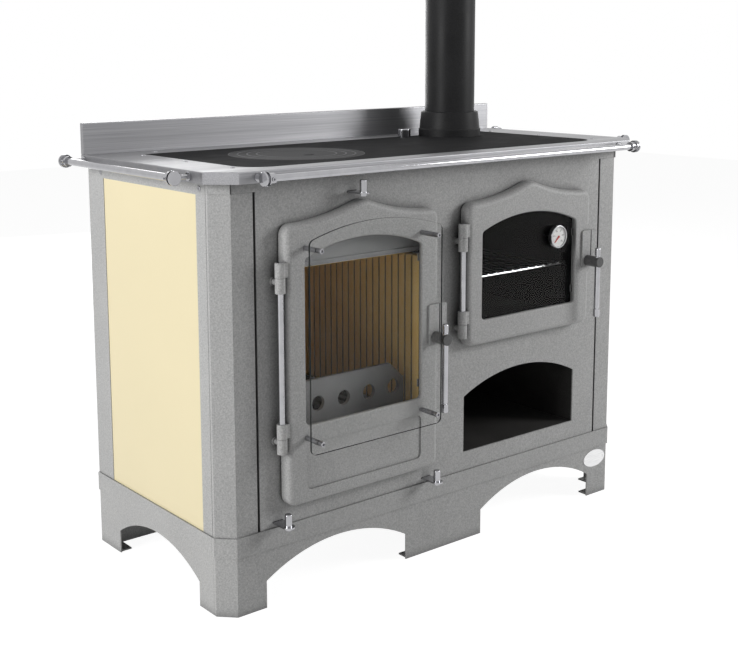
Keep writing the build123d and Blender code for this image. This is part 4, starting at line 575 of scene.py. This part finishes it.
@dataclass(frozen=True)
class Vermiculite(Finish):
    """Pressed vermiculite lining board.

    The eye gets dry golden buff with mica grains, and painted shade in the flutes, in the brown
    of soot.
    """

    name: str = "vermiculite board"
    # Both tones are lighter than real board, about c9a86a: painted light, standing in for the
    # glow of a fire that the scene leaves out.
    light: str = "fbe09a"
    dark: str = "eec573"
    roughness: float = 0.85
    relief: float = 0.0004
    grain: float = 0.003
    cloud: float = 0.08
    # Painted shade in the flutes: its soot-brown colour, the occlusion band it spans and its
    # samples.
    flute_shade: str = "3a2c1a"
    groove: float = 0.009
    flute_shade_band: Band = (0.3, 0.78)
    flute_shade_samples: int = 8

    def build(self) -> Material:
        """Build the board: grains are 2 to 4 mm, and painted shade in a soot brown darkens it
        where the board is hollow.

        Returns:
            The material.
        """
        board, place = self.begin()
        sand = add_node(board, "ShaderNodeTexNoise",
                        {"Vector": place, "Scale": 1 / self.grain, "Detail": 3.0})
        cloud = add_node(board, "ShaderNodeTexNoise",
                         {"Vector": place, "Scale": 1 / self.cloud, "Detail": 4.0})
        unshaded_tone = add_node(board, "ShaderNodeMix",
                         {MIX_SHARE: cloud.outputs["Fac"], MIX_FROM: srgb(self.dark),
                          MIX_TO: srgb(self.light)}, data_type="RGBA")
        # Painted shade: ambient occlusion darkens the board towards soot brown in the flutes.
        occlusion = add_node(board, "ShaderNodeAmbientOcclusion", {"Distance": self.groove},
                          samples=self.flute_shade_samples)
        unoccluded = add_node(board, "ShaderNodeMapRange",
                             {"Value": occlusion.outputs["AO"], "From Min": self.flute_shade_band[0],
                              "From Max": self.flute_shade_band[1]})
        flute_shaded = add_node(board, "ShaderNodeMix",
                          {MIX_SHARE: unoccluded.outputs["Result"], MIX_FROM: srgb(self.flute_shade),
                           MIX_TO: unshaded_tone.outputs[MIX_OUT]}, data_type="RGBA")
        return self.coat(board, flute_shaded.outputs[MIX_OUT], height=sand.outputs["Fac"])


@dataclass(frozen=True)
class RopeSeal(Finish):
    """Knitted glass-fibre rope, grey with graphite.

    The eye gets slanting strands a few millimetres apart.
    """

    name: str = "glass fibre rope"
    light: str = "4a4a48"
    dark: str = "1c1c1b"
    roughness: float = 0.95
    relief: float = 0.0006
    twist: float = 0.004
    wave_pitch: float = 0.31
    ragged: float = 1.5

    def build(self) -> Material:
        """Build the rope, with strands 4 mm apart on the slant.

        A wave texture's bands lie wave_pitch apart at a scale of 1.

        Returns:
            The material.
        """
        rope, place = self.begin()
        strand = add_node(rope, "ShaderNodeTexWave",
                          {"Vector": place, "Scale": self.wave_pitch / self.twist,
                           "Distortion": self.ragged, "Detail": 2.0},
                          bands_direction="DIAGONAL")
        colour = add_node(rope, "ShaderNodeMix",
                          {MIX_SHARE: strand.outputs["Fac"], MIX_FROM: srgb(self.dark),
                           MIX_TO: srgb(self.light)}, data_type="RGBA")
        return self.coat(rope, colour.outputs[MIX_OUT], height=strand.outputs["Fac"])


class Slot(Enum):
    """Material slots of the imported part, by the name that the record gives them."""

    GREY = "grey_enamel"
    CREAM = "cream_enamel"
    STEEL = "brushed_steel"
    IRON = "cast_iron"
    FLUE = "flue_black"
    CHROME = "chrome"
    KNOB = "knob_grey"
    SCREW = "screw_steel"
    SHEET = "plain_steel"
    BARE = "bare_steel"
    LINING = "refractory"
    OVEN = "oven_enamel"
    WIRE = "rack_wire"
    GLASS = "clear_glass"
    ROPE = "rope_seal"
    BADGE = "badge_alloy"
    DIAL = "dial"
    NEEDLE = "needle_red"


FINISHES: dict[Slot, Finish] = {
    Slot.GREY: TexturedEnamel(),
    Slot.CREAM: GlossEnamel(),
    Slot.STEEL: BrushedSteel(),
    Slot.IRON: GroundIron(),
    Slot.FLUE: MattPaint(),
    Slot.CHROME: PolishedPlate(),
    # The body's paint, darker, laid finer and rubbed by hands: a soft shine on each knob, and
    # painted shade in its corners.
    Slot.KNOB: TexturedEnamel(name="dark knob enamel", light="626262", dark="525252",
                              corner_shade="3a3a3a", grain=0.0016, fleck=0.004, relief=0.00006,
                              roughness=0.36),
    # Bar steel off the lathe: brighter than the sheet round it, so that each head shows.
    Slot.SCREW: BrushedSteel(name="turned steel", light="a9a9ac", dark="8a8a8d",
                             roughness=0.34),
    # Mild steel under mill scale: warm dark grey with hardly any shine.
    Slot.SHEET: MattPaint(name="dark oxide sheet", light="444342", dark="343332",
                          roughness=0.55),
    # Bare mild steel that has been hot: mid grey, part metal and part dull oxide.
    Slot.BARE: MattPaint(name="heat-dulled bare sheet", light="8e8e8f", dark="787879",
                         roughness=0.5, grain=0.003, relief=0.00004, gloss=0.5, metallic=0.3),
    Slot.LINING: Vermiculite(),
    # Black ground-coat enamel: nearly no light comes back from the oven's walls.
    Slot.OVEN: MattPaint(name="oven enamel", light="0e0e10", dark="08080a", roughness=0.6,
                         grain=0.004, relief=0.000002, gloss=0.05),
    # Nickel on steel wire: a bright line across the dark oven.
    Slot.WIRE: PolishedPlate(name="plated wire", light="e2e2e3", dark="cfcfd1",
                             roughness=0.14),
    Slot.GLASS: CeramicGlass(),
    Slot.ROPE: RopeSeal(),
    # Cast zinc alloy, satin: a pale oval with short soft streaks.
    Slot.BADGE: BrushedSteel(name="satin alloy", light="e6e6e6", dark="d4d4d5", roughness=0.4,
                             line=0.0012, draw=0.05),
    # Spun bezel, polished less than the rails: a bright ring with a softer shine.
    Slot.DIAL: PolishedPlate(name="bright bezel", light="bcbcbe", dark="a6a6a8",
                             roughness=0.12),
    # Lacquer on a thin pointer: plain strong red.
    Slot.NEEDLE: GlossEnamel(name="red pointer lacquer", light="d0241c", dark="b81a14",
                             roughness=0.35, ripple=0.01, relief=0.00001),
}

# The hob rings and their lid share the cooking plate's slot, but are turned, not ground.
TURNED_NODES = ("hob_rings", "hob_lid")

# Printed card under the lens: plain white with hardly a ripple.
CARD_WHITE = GlossEnamel(name="white dial card", light="fdfdfc", dark="f8f8f7", roughness=0.4,
                         ripple=0.01, relief=0.00001)

# Printing ink: flat dark grey on the card.
CARD_INK = MattPaint(name="dial ink", light="4c4c4d", dark="3c3c3d", roughness=0.6,
                     grain=0.001, relief=0.000005)

# Glass cut and ground at its edge, with the green of thick glass; its near-black is a painted
# reflection for the dark that refraction shows along a glass edge.
GLASS_EDGE = MattPaint(name="ground glass edge", light="1c211f", dark="0e1110", roughness=0.3,
                       grain=0.002, relief=0.00002, gloss=0.4)


@dataclass
class Wardrobe:
    """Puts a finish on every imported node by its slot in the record, or as turned iron."""

    record: dict
    nodes: dict[str, Object]

    def dress(self) -> dict[Slot, Material]:
        """Build each finish once and assign it.

        Returns:
            Slot to finished material.
        """
        built = {slot: FINISHES[slot].build() for slot in Slot}
        turned = TurnedIron().build()
        for entry in self.record["subparts"]:
            node = self.nodes[entry["node"]]
            slot = Slot(entry["material_slot"])
            node.data.materials.clear()
            node.data.materials.append(turned if entry["node"] in TURNED_NODES else built[slot])
            LOG.info("finish %s on %s", slot.value, entry["node"])
        return built


# ---------------------------------------------------------------- modelling helpers

def start_clean() -> None:
    """Leave edit mode and deselect everything."""
    if bpy.context.object and bpy.context.object.mode != "OBJECT":
        bpy.ops.object.mode_set(mode="OBJECT")
    bpy.ops.object.select_all(action="DESELECT")


def edit_faces(piece: Object, test: Callable[[Vector, Vector], bool]) -> None:
    """Enter edit mode with the faces selected whose centre and normal pass a test.

    Args:
        piece: Object to edit.
        test: Takes a face's centre and normal, both in the object's own axes.
    """
    bpy.ops.object.mode_set(mode="OBJECT")
    mesh = piece.data
    mesh.vertices.foreach_set("select", [False] * len(mesh.vertices))
    mesh.edges.foreach_set("select", [False] * len(mesh.edges))
    for face in mesh.polygons:
        face.select = test(face.center, face.normal)
    bpy.ops.object.mode_set(mode="EDIT")
    bpy.ops.mesh.select_mode(type="FACE")


def settle(piece: Object, name: str, body: str, material: Material,
           smooth: float = 30.0) -> Object:
    """Name a finished piece, apply its place, dress it and let it ride on its body.

    Args:
        piece: The finished mesh object.
        name: Name of the piece.
        body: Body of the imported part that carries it.
        material: Its finish.
        smooth: Largest angle in degrees that is shaded smooth.

    Returns:
        The piece.
    """
    start_clean()
    piece.name = name
    piece.select_set(True)
    bpy.context.view_layer.objects.active = piece
    bpy.ops.object.transform_apply(location=True, rotation=True, scale=True)
    bpy.ops.object.shade_smooth_by_angle(angle=math.radians(smooth))
    piece.data.materials.clear()
    piece.data.materials.append(material)
    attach(piece, body)
    LOG.info("piece %s on %s, %d faces", name, body, len(piece.data.polygons))
    return piece


def join_all(pieces: list[Object]) -> Object:
    """Join pieces into the first one.

    Args:
        pieces: Objects of one finish.

    Returns:
        The joined object.
    """
    start_clean()
    for piece in pieces:
        piece.select_set(True)
    bpy.context.view_layer.objects.active = pieces[0]
    bpy.ops.object.join()
    return pieces[0]


def copy_to(model: Object, place: Matrix) -> Object:
    """Copy a modelled shape, with a mesh of its own, to a place.

    Args:
        model: Shape to copy.
        place: Turn and shift that bring it to its place.

    Returns:
        The copy, with the place applied to its mesh.
    """
    copy = bpy.data.objects.new(model.name, model.data.copy())
    bpy.context.scene.collection.objects.link(copy)
    copy.data.transform(place)
    return copy


def block(middle: Point, size: Point) -> Object:
    """Add a block to start a shape or a cutting tool from.

    Args:
        middle: Middle of the block.
        size: Its lengths along x, y and z.

    Returns:
        The block, with its place applied to its mesh.
    """
    start_clean()
    bpy.ops.mesh.primitive_cube_add(size=1.0, location=middle, scale=size)
    bpy.ops.object.transform_apply(location=True, rotation=True, scale=True)
    return bpy.context.object


def cut_out(piece: Object, tool: Object, name: str) -> None:
    """Cut the shape of a tool out of a piece, and delete the tool.

    Args:
        piece: Object that is cut.
        tool: Object that cuts.
        name: What the cut is.
    """
    bpy.context.view_layer.objects.active = piece
    cut = piece.modifiers.new(name, "BOOLEAN")
    cut.operation = "DIFFERENCE"
    cut.solver = "EXACT"
    cut.object = tool
    bpy.ops.object.modifier_apply(modifier=cut.name)
    bpy.data.objects.remove(tool)


# ---------------------------------------------------------------- sub-assemblies

@dataclass
class DialFace:
    """Printed card, scale, numbers and lens of the oven thermometer."""

    centre_x: float = 0.3100
    centre_z: float = 0.6516
    facets: int = 96
    recess_y: float = -0.23575
    card_radius: float = 0.0223
    card_sheet: float = 0.0003
    ring_inset: float = 0.0018
    ring_width: float = 0.00024
    ink: float = 0.00008
    ink_arris: float = 0.00002
    scale_radius: float = 0.0190
    tick_length: float = 0.0022
    tick_width: float = 0.0005
    bold_width: float = 1.8
    bold_length: float = 1.4
    tick_count: int = 31
    sweep_degrees: float = 270.0
    number_radius: float = 0.0138
    number_height: float = 0.0040
    number_facets: int = 3
    numbers: tuple[str, ...] = ("0", "100", "200", "300", "400", "500")
    lens_y: float = -0.23805
    lens_radius: float = 0.0224
    lens_sheet: float = 0.0003
    lens_crown: float = 0.0004
    crown_inset: float = 0.28
    crown_steps: tuple[float, ...] = (0.5, 0.3, 0.15)
    lens_smooth: float = 40.0

    def on_card(self, x: float = 0.0, z: float = 0.0) -> Vector:
        """Give the middle of the ink at a place on the card, measured from the dial's middle."""
        front = self.recess_y - self.card_sheet
        return Vector((self.centre_x + x, front - self.ink / 2, self.centre_z + z))

    def turn(self, count: int, total: int) -> float:
        """Give the turn of one of several marks spread over the sweep, in radians."""
        return math.radians(self.sweep_degrees * (count / (total - 1) - 0.5))

    def disc(self, radius: float, sheet: float, rear: float) -> Object:
        """Start a thin disc round the dial's middle, whose own z looks to the front.

        Args:
            radius: Radius of the disc.
            sheet: Its thickness.
            rear: Where its rear face lies along y.

        Returns:
            The disc.
        """
        start_clean()
        bpy.ops.mesh.primitive_cylinder_add(vertices=self.facets, radius=radius, depth=sheet,
                                            location=(self.centre_x, rear - sheet / 2,
                                                      self.centre_z),
                                            rotation=(math.radians(90), 0, 0))
        return bpy.context.object

    def card(self, material: Material) -> Object:
        """Model the card: a thin disc with a raised ring round its scale.

        Args:
            material: Finish of the card.

        Returns:
            The piece.
        """
        card = self.disc(self.card_radius, self.card_sheet, self.recess_y)
        edit_faces(card, lambda centre, normal: normal.z > FACING)
        bpy.ops.mesh.inset(thickness=self.ring_inset)
        bpy.ops.mesh.inset(thickness=self.ink, depth=self.ink)
        bpy.ops.mesh.inset(thickness=self.ring_width)
        bpy.ops.mesh.inset(thickness=self.ink, depth=-self.ink)
        return settle(card, "dial_card", "oven_door", material)

    def tick(self, width: float, length: float) -> Object:
        """Model one printed line of the scale, straight up from the dial's middle.

        Args:
            width: Width of the line.
            length: Length of the line.

        Returns:
            The line, with the dial's middle at the origin.
        """
        line = block((0, 0, self.scale_radius - length / 2), (width, self.ink, length))
        bpy.ops.object.mode_set(mode="EDIT")
        bpy.ops.mesh.select_all(action="SELECT")
        bpy.ops.mesh.bevel(offset=self.ink_arris, segments=1)
        bpy.ops.object.mode_set(mode="OBJECT")
        return line

    def scale_lines(self, material: Material) -> Object:
        """Model a fine and a bold line once, and copy them round the scale.

        Args:
            material: Finish of the print.

        Returns:
            The piece, with a bold line at each number.
        """
        fine = self.tick(self.tick_width, self.tick_length)
        bold = self.tick(self.tick_width * self.bold_width, self.tick_length * self.bold_length)
        middle = Matrix.Translation(self.on_card())
        per_number = (self.tick_count - 1) // (len(self.numbers) - 1)
        lines = []
        for count in range(self.tick_count):
            turn = Matrix.Rotation(self.turn(count, self.tick_count), 4, "Y")
            lines.append(copy_to(fine if count % per_number else bold, middle @ turn))
        bpy.data.objects.remove(fine)
        bpy.data.objects.remove(bold)
        return settle(join_all(lines), "dial_scale", "oven_door", material)

    def number(self, text: str, turn: float) -> Object:
        """Model one printed number.

        Args:
            text: The digits.
            turn: Angle clockwise from straight up, in radians.

        Returns:
            The number as a mesh, at its place on the card.
        """
        start_clean()
        bpy.ops.object.text_add()
        label = bpy.context.object
        label.data.body = text
        label.data.size = self.number_height
        label.data.align_x = "CENTER"
        label.data.align_y = "CENTER"
        label.data.extrude = self.ink / 2
        label.data.resolution_u = self.number_facets
        bpy.ops.object.convert(target="MESH")
        label = bpy.context.object
        label.rotation_euler = (math.radians(90), 0, 0)
        label.location = self.on_card(self.number_radius * math.sin(turn),
                                      self.number_radius * math.cos(turn))
        bpy.ops.object.transform_apply(location=True, rotation=True, scale=True)
        return label

    def number_ring(self, material: Material) -> Object:
        """Model the numbers round the card.

        Args:
            material: Finish of the print.

        Returns:
            The piece.
        """
        labels = [self.number(text, self.turn(count, len(self.numbers)))
                  for count, text in enumerate(self.numbers)]
        return settle(join_all(labels), "dial_numbers", "oven_door", material)

    def lens(self, material: Material) -> Object:
        """Model the lens: a thin disc, crowned at the front and hollow behind by as much.

        Args:
            material: Finish of the lens.

        Returns:
            The piece.
        """
        lens = self.disc(self.lens_radius, self.lens_sheet, self.lens_y)
        for front in (1, -1):
            edit_faces(lens, lambda centre, normal: normal.z * front > FACING)
            for step in self.crown_steps:
                bpy.ops.mesh.inset(thickness=self.lens_radius * self.crown_inset,
                                   depth=front * self.lens_crown * step)
        return settle(lens, "dial_lens", "oven_door", material, self.lens_smooth)

    def build(self, glass: Material) -> None:
        """Build the pieces of the dial.

        Args:
            glass: Finish of the lens.
        """
        ink = CARD_INK.build()
        self.card(CARD_WHITE.build())
        self.scale_lines(ink)
        self.number_ring(ink)
        self.lens(glass)


@dataclass
class CoverScrews:
    """Pan-head screws of the hob frame and side frames, with a cross recess in each head."""

    head_radius: float = 0.0050
    head_height: float = 0.0015
    head_facets: int = 40
    head_round: float = 0.0008
    round_steps: int = 4
    recess_width: float = 0.0011
    recess_length: float = 0.0056
    recess_depth: float = 0.0008
    slant_degrees: float = 17.0
    hob_z: float = 0.855
    hob_x: float = 0.503
    hob_y: tuple[float, ...] = (-0.16275, 0.00275, 0.16825)
    rear_x: float = 0.440
    rear_y: float = 0.22725
    side_x: float = 0.565
    side_y: tuple[float, ...] = (-0.14575, 0.23725)
    side_z: float = 0.820

    def head(self) -> Object:
        """Model one head at the origin, standing on z = 0.

        Returns:
            The head.
        """
        start_clean()
        bpy.ops.mesh.primitive_cylinder_add(vertices=self.head_facets, radius=self.head_radius,
                                            depth=self.head_height,
                                            location=(0, 0, self.head_height / 2))
        head = bpy.context.object
        bpy.ops.object.transform_apply(location=True, rotation=True, scale=True)
        edit_faces(head, lambda centre, normal: normal.z > FACING)
        bpy.ops.mesh.bevel(offset=self.head_round, segments=self.round_steps)
        bpy.ops.object.mode_set(mode="OBJECT")
        for turn in (0, 90):
            start_clean()
            bpy.ops.mesh.primitive_cube_add(size=1.0, location=(0, 0, self.head_height),
                                            rotation=(0, 0, math.radians(turn)),
                                            scale=(self.recess_length, self.recess_width,
                                                   2 * self.recess_depth))
            cut_out(head, bpy.context.object, "cross recess")
        return head

    def places(self) -> list[tuple[Vector, float]]:
        """List where each head sits.

        Returns:
            Seat of each head, and its turn about y in radians.
        """
        seats = []
        for side in (-1, 1):
            seats += [(Vector((side * self.hob_x, y, self.hob_z)), 0.0) for y in self.hob_y]
            seats.append((Vector((side * self.rear_x, self.rear_y, self.hob_z)), 0.0))
            seats += [(Vector((side * self.side_x, y, self.side_z)), side * math.radians(90))
                      for y in self.side_y]
        return seats

    def build(self, material: Material) -> None:
        """Build one head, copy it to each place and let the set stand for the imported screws.

        Args:
            material: Finish of the screws.
        """
        model = self.head()
        copies = []
        for count, (seat, turn) in enumerate(self.places()):
            slant = Matrix.Rotation(math.radians(self.slant_degrees * count), 4, "Z")
            copies.append(copy_to(model, Matrix.Translation(seat)
                                  @ Matrix.Rotation(turn, 4, "Y") @ slant))
        bpy.data.objects.remove(model)
        screws = settle(join_all(copies), "cover_screws", "stove", material)
        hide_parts("small_screws")


@dataclass
class ScreenEdge:
    """Ground edge of the glass screen in front of the fire door, near-black as a painted
    reflection.
    """

    margin: float = 0.0145
    crown_low: float = 0.712
    broad: float = 0.5
    weld: float = 0.000002
    skin: float = 0.00025

    def build(self) -> None:
        """Take the narrow faces round the screen and give them a thin ground skin, painted
        near-black as the edge's dark refraction.
        """
        start_clean()
        low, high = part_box("screen_glass")
        edge = copy_to(frame["nodes"]["screen_glass"], Matrix.Identity(4))
        edge.select_set(True)
        bpy.context.view_layer.objects.active = edge
        bpy.ops.object.mode_set(mode="EDIT")
        bpy.ops.mesh.select_all(action="SELECT")
        bpy.ops.mesh.remove_doubles(threshold=self.weld)

        def inside(centre: Vector, normal: Vector) -> bool:
            """Say whether a face is a broad face or the wall of a post hole.

            Args:
                centre: Middle of the face.
                normal: Direction that it faces.

            Returns:
                True if the face isn't part of the ground edge.
            """
            at_side = min(centre.x - low[0], high[0] - centre.x) < self.margin
            at_end = centre.z - low[2] < self.margin or centre.z > self.crown_low
            return abs(normal.y) > self.broad or not (at_side or at_end)

        edit_faces(edge, inside)
        bpy.ops.mesh.delete(type="FACE")
        bpy.ops.object.mode_set(mode="OBJECT")
        wall = edge.modifiers.new("ground skin", "SOLIDIFY")
        wall.thickness = self.skin
        wall.offset = 1.0
        bpy.ops.object.modifier_apply(modifier=wall.name)
        settle(edge, "screen_edge", "fire_door", GLASS_EDGE.build())


@dataclass
class FlutedLining:
    """Side boards of the firebox lining, fluted from the window to the rear.

    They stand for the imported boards, whose flutes start further back.
    """

    thickness: float = 0.024
    flute_width: float = 0.005
    flute_depth: float = 0.008
    pitch: float = 0.021
    first_flute: float = 0.023
    rear_margin: float = 0.012
    overrun: float = 0.01
    arris: float = 0.0008
    arris_steps: int = 2

    def board(self, wall: float, inward: int, low: Vector, high: Vector) -> Object:
        """Model one board and cut its flutes with copies of one tool.

        Args:
            wall: Where its back lies along x.
            inward: 1 if the fire is towards +x of it, else -1.
            low: Lowest corner of both boards.
            high: Highest corner of both boards.

        Returns:
            The board.
        """
        face = wall + inward * self.thickness
        level = (low[2] + high[2]) / 2
        height = high[2] - low[2]
        board = block(((wall + face) / 2, (low[1] + high[1]) / 2, level),
                      (self.thickness, high[1] - low[1], height))
        tool = block((0, 0, 0), (2 * self.flute_depth, self.flute_width, height + self.overrun))
        tools = []
        y = low[1] + self.first_flute
        while y < high[1] - self.rear_margin:
            tools.append(copy_to(tool, Matrix.Translation((face, y, level))))
            y += self.pitch
        bpy.data.objects.remove(tool)
        cut_out(board, join_all(tools), "flutes")
        soften = board.modifiers.new("arris", "BEVEL")
        soften.width = self.arris
        soften.segments = self.arris_steps
        bpy.ops.object.modifier_apply(modifier=soften.name)
        return board

    def build(self, material: Material) -> None:
        """Build both boards.

        Args:
            material: Finish of the lining.
        """
        low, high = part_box("lining_sides")
        boards = [self.board(low[0], 1, low, high), self.board(high[0], -1, low, high)]
        lining = settle(join_all(boards), "fluted_lining", "stove", material)
        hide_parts("lining_sides")


# ---------------------------------------------------------------- room and camera

@dataclass(frozen=True)
class Lamp:
    """Square soft lamp."""

    name: str
    place: Point
    power: float
    size: float

    def build(self, target: Point) -> None:
        """Hang the lamp and turn it towards a point.

        Args:
            target: Point that it faces.
        """
        lamp = bpy.data.lights.new(self.name, "AREA")
        lamp.energy = self.power
        lamp.size = self.size
        holder = bpy.data.objects.new(self.name, lamp)
        bpy.context.scene.collection.objects.link(holder)
        holder.location = self.place
        aim = Vector(target) - Vector(self.place)
        holder.rotation_euler = aim.to_track_quat("-Z", "Y").to_euler()


@dataclass
class Studio:
    """Pale floor, white surroundings and three soft lamps.

    The side lamp lights the left side and the chamfer, the front lamp the doors, and the rear
    lamp the hob and the backsplash. Powers are watts.
    """

    floor_size: float = 16.0
    floor_drop: float = 0.0006
    floor_light: str = "efefef"
    floor_dark: str = "e8e8e8"
    floor_cloud: float = 0.8
    seen_share: float = 0.62
    seen_strength: float = 1.5
    world_strength: float = 0.11
    target: Point = (0.0, 0.0, 0.5)
    lamps: tuple[Lamp, ...] = (
        Lamp("side lamp", place=(-4.0, -0.15, 1.5), power=96.0, size=1.6),
        Lamp("front lamp", place=(2.4, -1.9, 1.6), power=45.0, size=1.1),
        Lamp("rear lamp", place=(1.2, 4.2, 1.3), power=55.0, size=2.0),
    )

    def seen_rays(self, owner: Material | World) -> Socket:
        """Find the rays that show the surroundings: the eye's, mirrors' and glass's.

        Args:
            owner: Material of the floor, or the world.

        Returns:
            A value of 1 on those rays.
        """
        path = add_node(owner, "ShaderNodeLightPath")
        eye = add_node(owner, "ShaderNodeMath",
                       {0: path.outputs["Is Camera Ray"], 1: path.outputs["Is Glossy Ray"]},
                       operation="MAXIMUM")
        seen = add_node(owner, "ShaderNodeMath",
                        {0: eye.outputs[0], 1: path.outputs["Is Transmission Ray"]},
                        operation="MAXIMUM")
        return seen.outputs[0]

    def build_world(self) -> None:
        """Make the surroundings: a soft even light that is seen as white."""
        world = bpy.data.worlds.new("white surroundings")
        world.use_nodes = True
        world.node_tree.nodes.clear()
        light = add_node(world, "ShaderNodeBackground",
                         {"Color": WHITE, "Strength": self.world_strength})
        white = add_node(world, "ShaderNodeBackground", {"Color": WHITE, "Strength": 1.0})
        mix = add_node(world, "ShaderNodeMixShader",
                       {0: self.seen_rays(world), 1: light.outputs[0], 2: white.outputs[0]})
        add_node(world, "ShaderNodeOutputWorld", {"Surface": mix.outputs[0]})
        bpy.context.scene.world = world

    def build_floor(self) -> None:
        """Make the floor: seen as white, with the stove's own soft shadow on it."""
        start_clean()
        bpy.ops.mesh.primitive_plane_add(size=self.floor_size,
                                         location=(0.0, 0.0, -self.floor_drop))
        floor = bpy.context.object
        floor.name = "studio_floor"
        bpy.ops.object.transform_apply(location=True, rotation=True, scale=True)
        material = new_material("white studio floor")
        place = add_node(material, "ShaderNodeTexCoord").outputs["Object"]
        cloud = add_node(material, "ShaderNodeTexNoise",
                         {"Vector": place, "Scale": 1 / self.floor_cloud, "Detail": 2.0})
        colour = add_node(material, "ShaderNodeMix",
                          {MIX_SHARE: cloud.outputs["Fac"], MIX_FROM: srgb(self.floor_dark),
                           MIX_TO: srgb(self.floor_light)}, data_type="RGBA")
        matt = add_node(material, "ShaderNodeBsdfDiffuse", {"Color": colour.outputs[MIX_OUT]})
        white = add_node(material, "ShaderNodeEmission", {"Strength": self.seen_strength})
        share = add_node(material, "ShaderNodeMath",
                         {0: self.seen_rays(material), 1: self.seen_share},
                         operation="MULTIPLY")
        mix = add_node(material, "ShaderNodeMixShader",
                       {0: share.outputs[0], 1: matt.outputs[0], 2: white.outputs[0]})
        add_node(material, "ShaderNodeOutputMaterial", {"Surface": mix.outputs[0]})
        floor.data.materials.append(material)

    def build(self) -> None:
        """Build world, floor and lamps."""
        self.build_world()
        self.build_floor()
        for lamp in self.lamps:
            lamp.build(self.target)
        LOG.info("studio built")


@dataclass
class PhotoCamera:
    """Camera at the photograph's place: left of the stove, a little above the hob.

    Angles are radians, lens and sensor millimetres, and the shift is a share of the frame.
    """

    place: Point = (-1.72633, -2.026964, 1.080055)
    yaw: float = 0.662721
    pitch: float = 0.153688
    roll: float = -0.006548
    lens: float = 59.203
    sensor: float = 36.0
    shift_x: float = 0.05
    shift_y: float = -0.14
    near: float = 0.05
    far: float = 60.0

    def axes(self) -> Matrix:
        """Work out the camera's axes from its angles.

        Returns:
            Rotation whose columns are right, up and backwards.
        """
        ahead = Vector((math.sin(self.yaw) * math.cos(self.pitch),
                        math.cos(self.yaw) * math.cos(self.pitch),
                        -math.sin(self.pitch)))
        level = Vector((math.cos(self.yaw), -math.sin(self.yaw), 0.0))
        upright = level.cross(ahead)
        right = level * math.cos(self.roll) + upright * math.sin(self.roll)
        up = upright * math.cos(self.roll) - level * math.sin(self.roll)
        return Matrix((right, up, -ahead)).transposed()

    def build(self) -> None:
        """Make the camera and set it as the scene's own."""
        data = bpy.data.cameras.new("photo camera")
        data.lens = self.lens
        data.sensor_width = self.sensor
        data.sensor_fit = "HORIZONTAL"
        data.shift_x = self.shift_x
        data.shift_y = self.shift_y
        data.clip_start = self.near
        data.clip_end = self.far
        camera = bpy.data.objects.new("photo camera", data)
        bpy.context.scene.collection.objects.link(camera)
        camera.matrix_world = Matrix.Translation(self.place) @ self.axes().to_4x4()
        bpy.context.scene.camera = camera
        LOG.info("camera built")


def main() -> None:
    """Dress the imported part, add the small pieces, and build the studio and the camera."""
    logging.basicConfig(level=logging.INFO, format="%(name)s: %(message)s")
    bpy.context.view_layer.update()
    bpy.context.scene.view_settings.view_transform = "Standard"
    finishes = Wardrobe(frame["record"], frame["nodes"]).dress()
    DialFace().build(finishes[Slot.GLASS])
    CoverScrews().build(finishes[Slot.SCREW])
    ScreenEdge().build()
    FlutedLining().build(finishes[Slot.LINING])
    Studio().build()
    PhotoCamera().build()


if __name__ == "__main__":
    main()
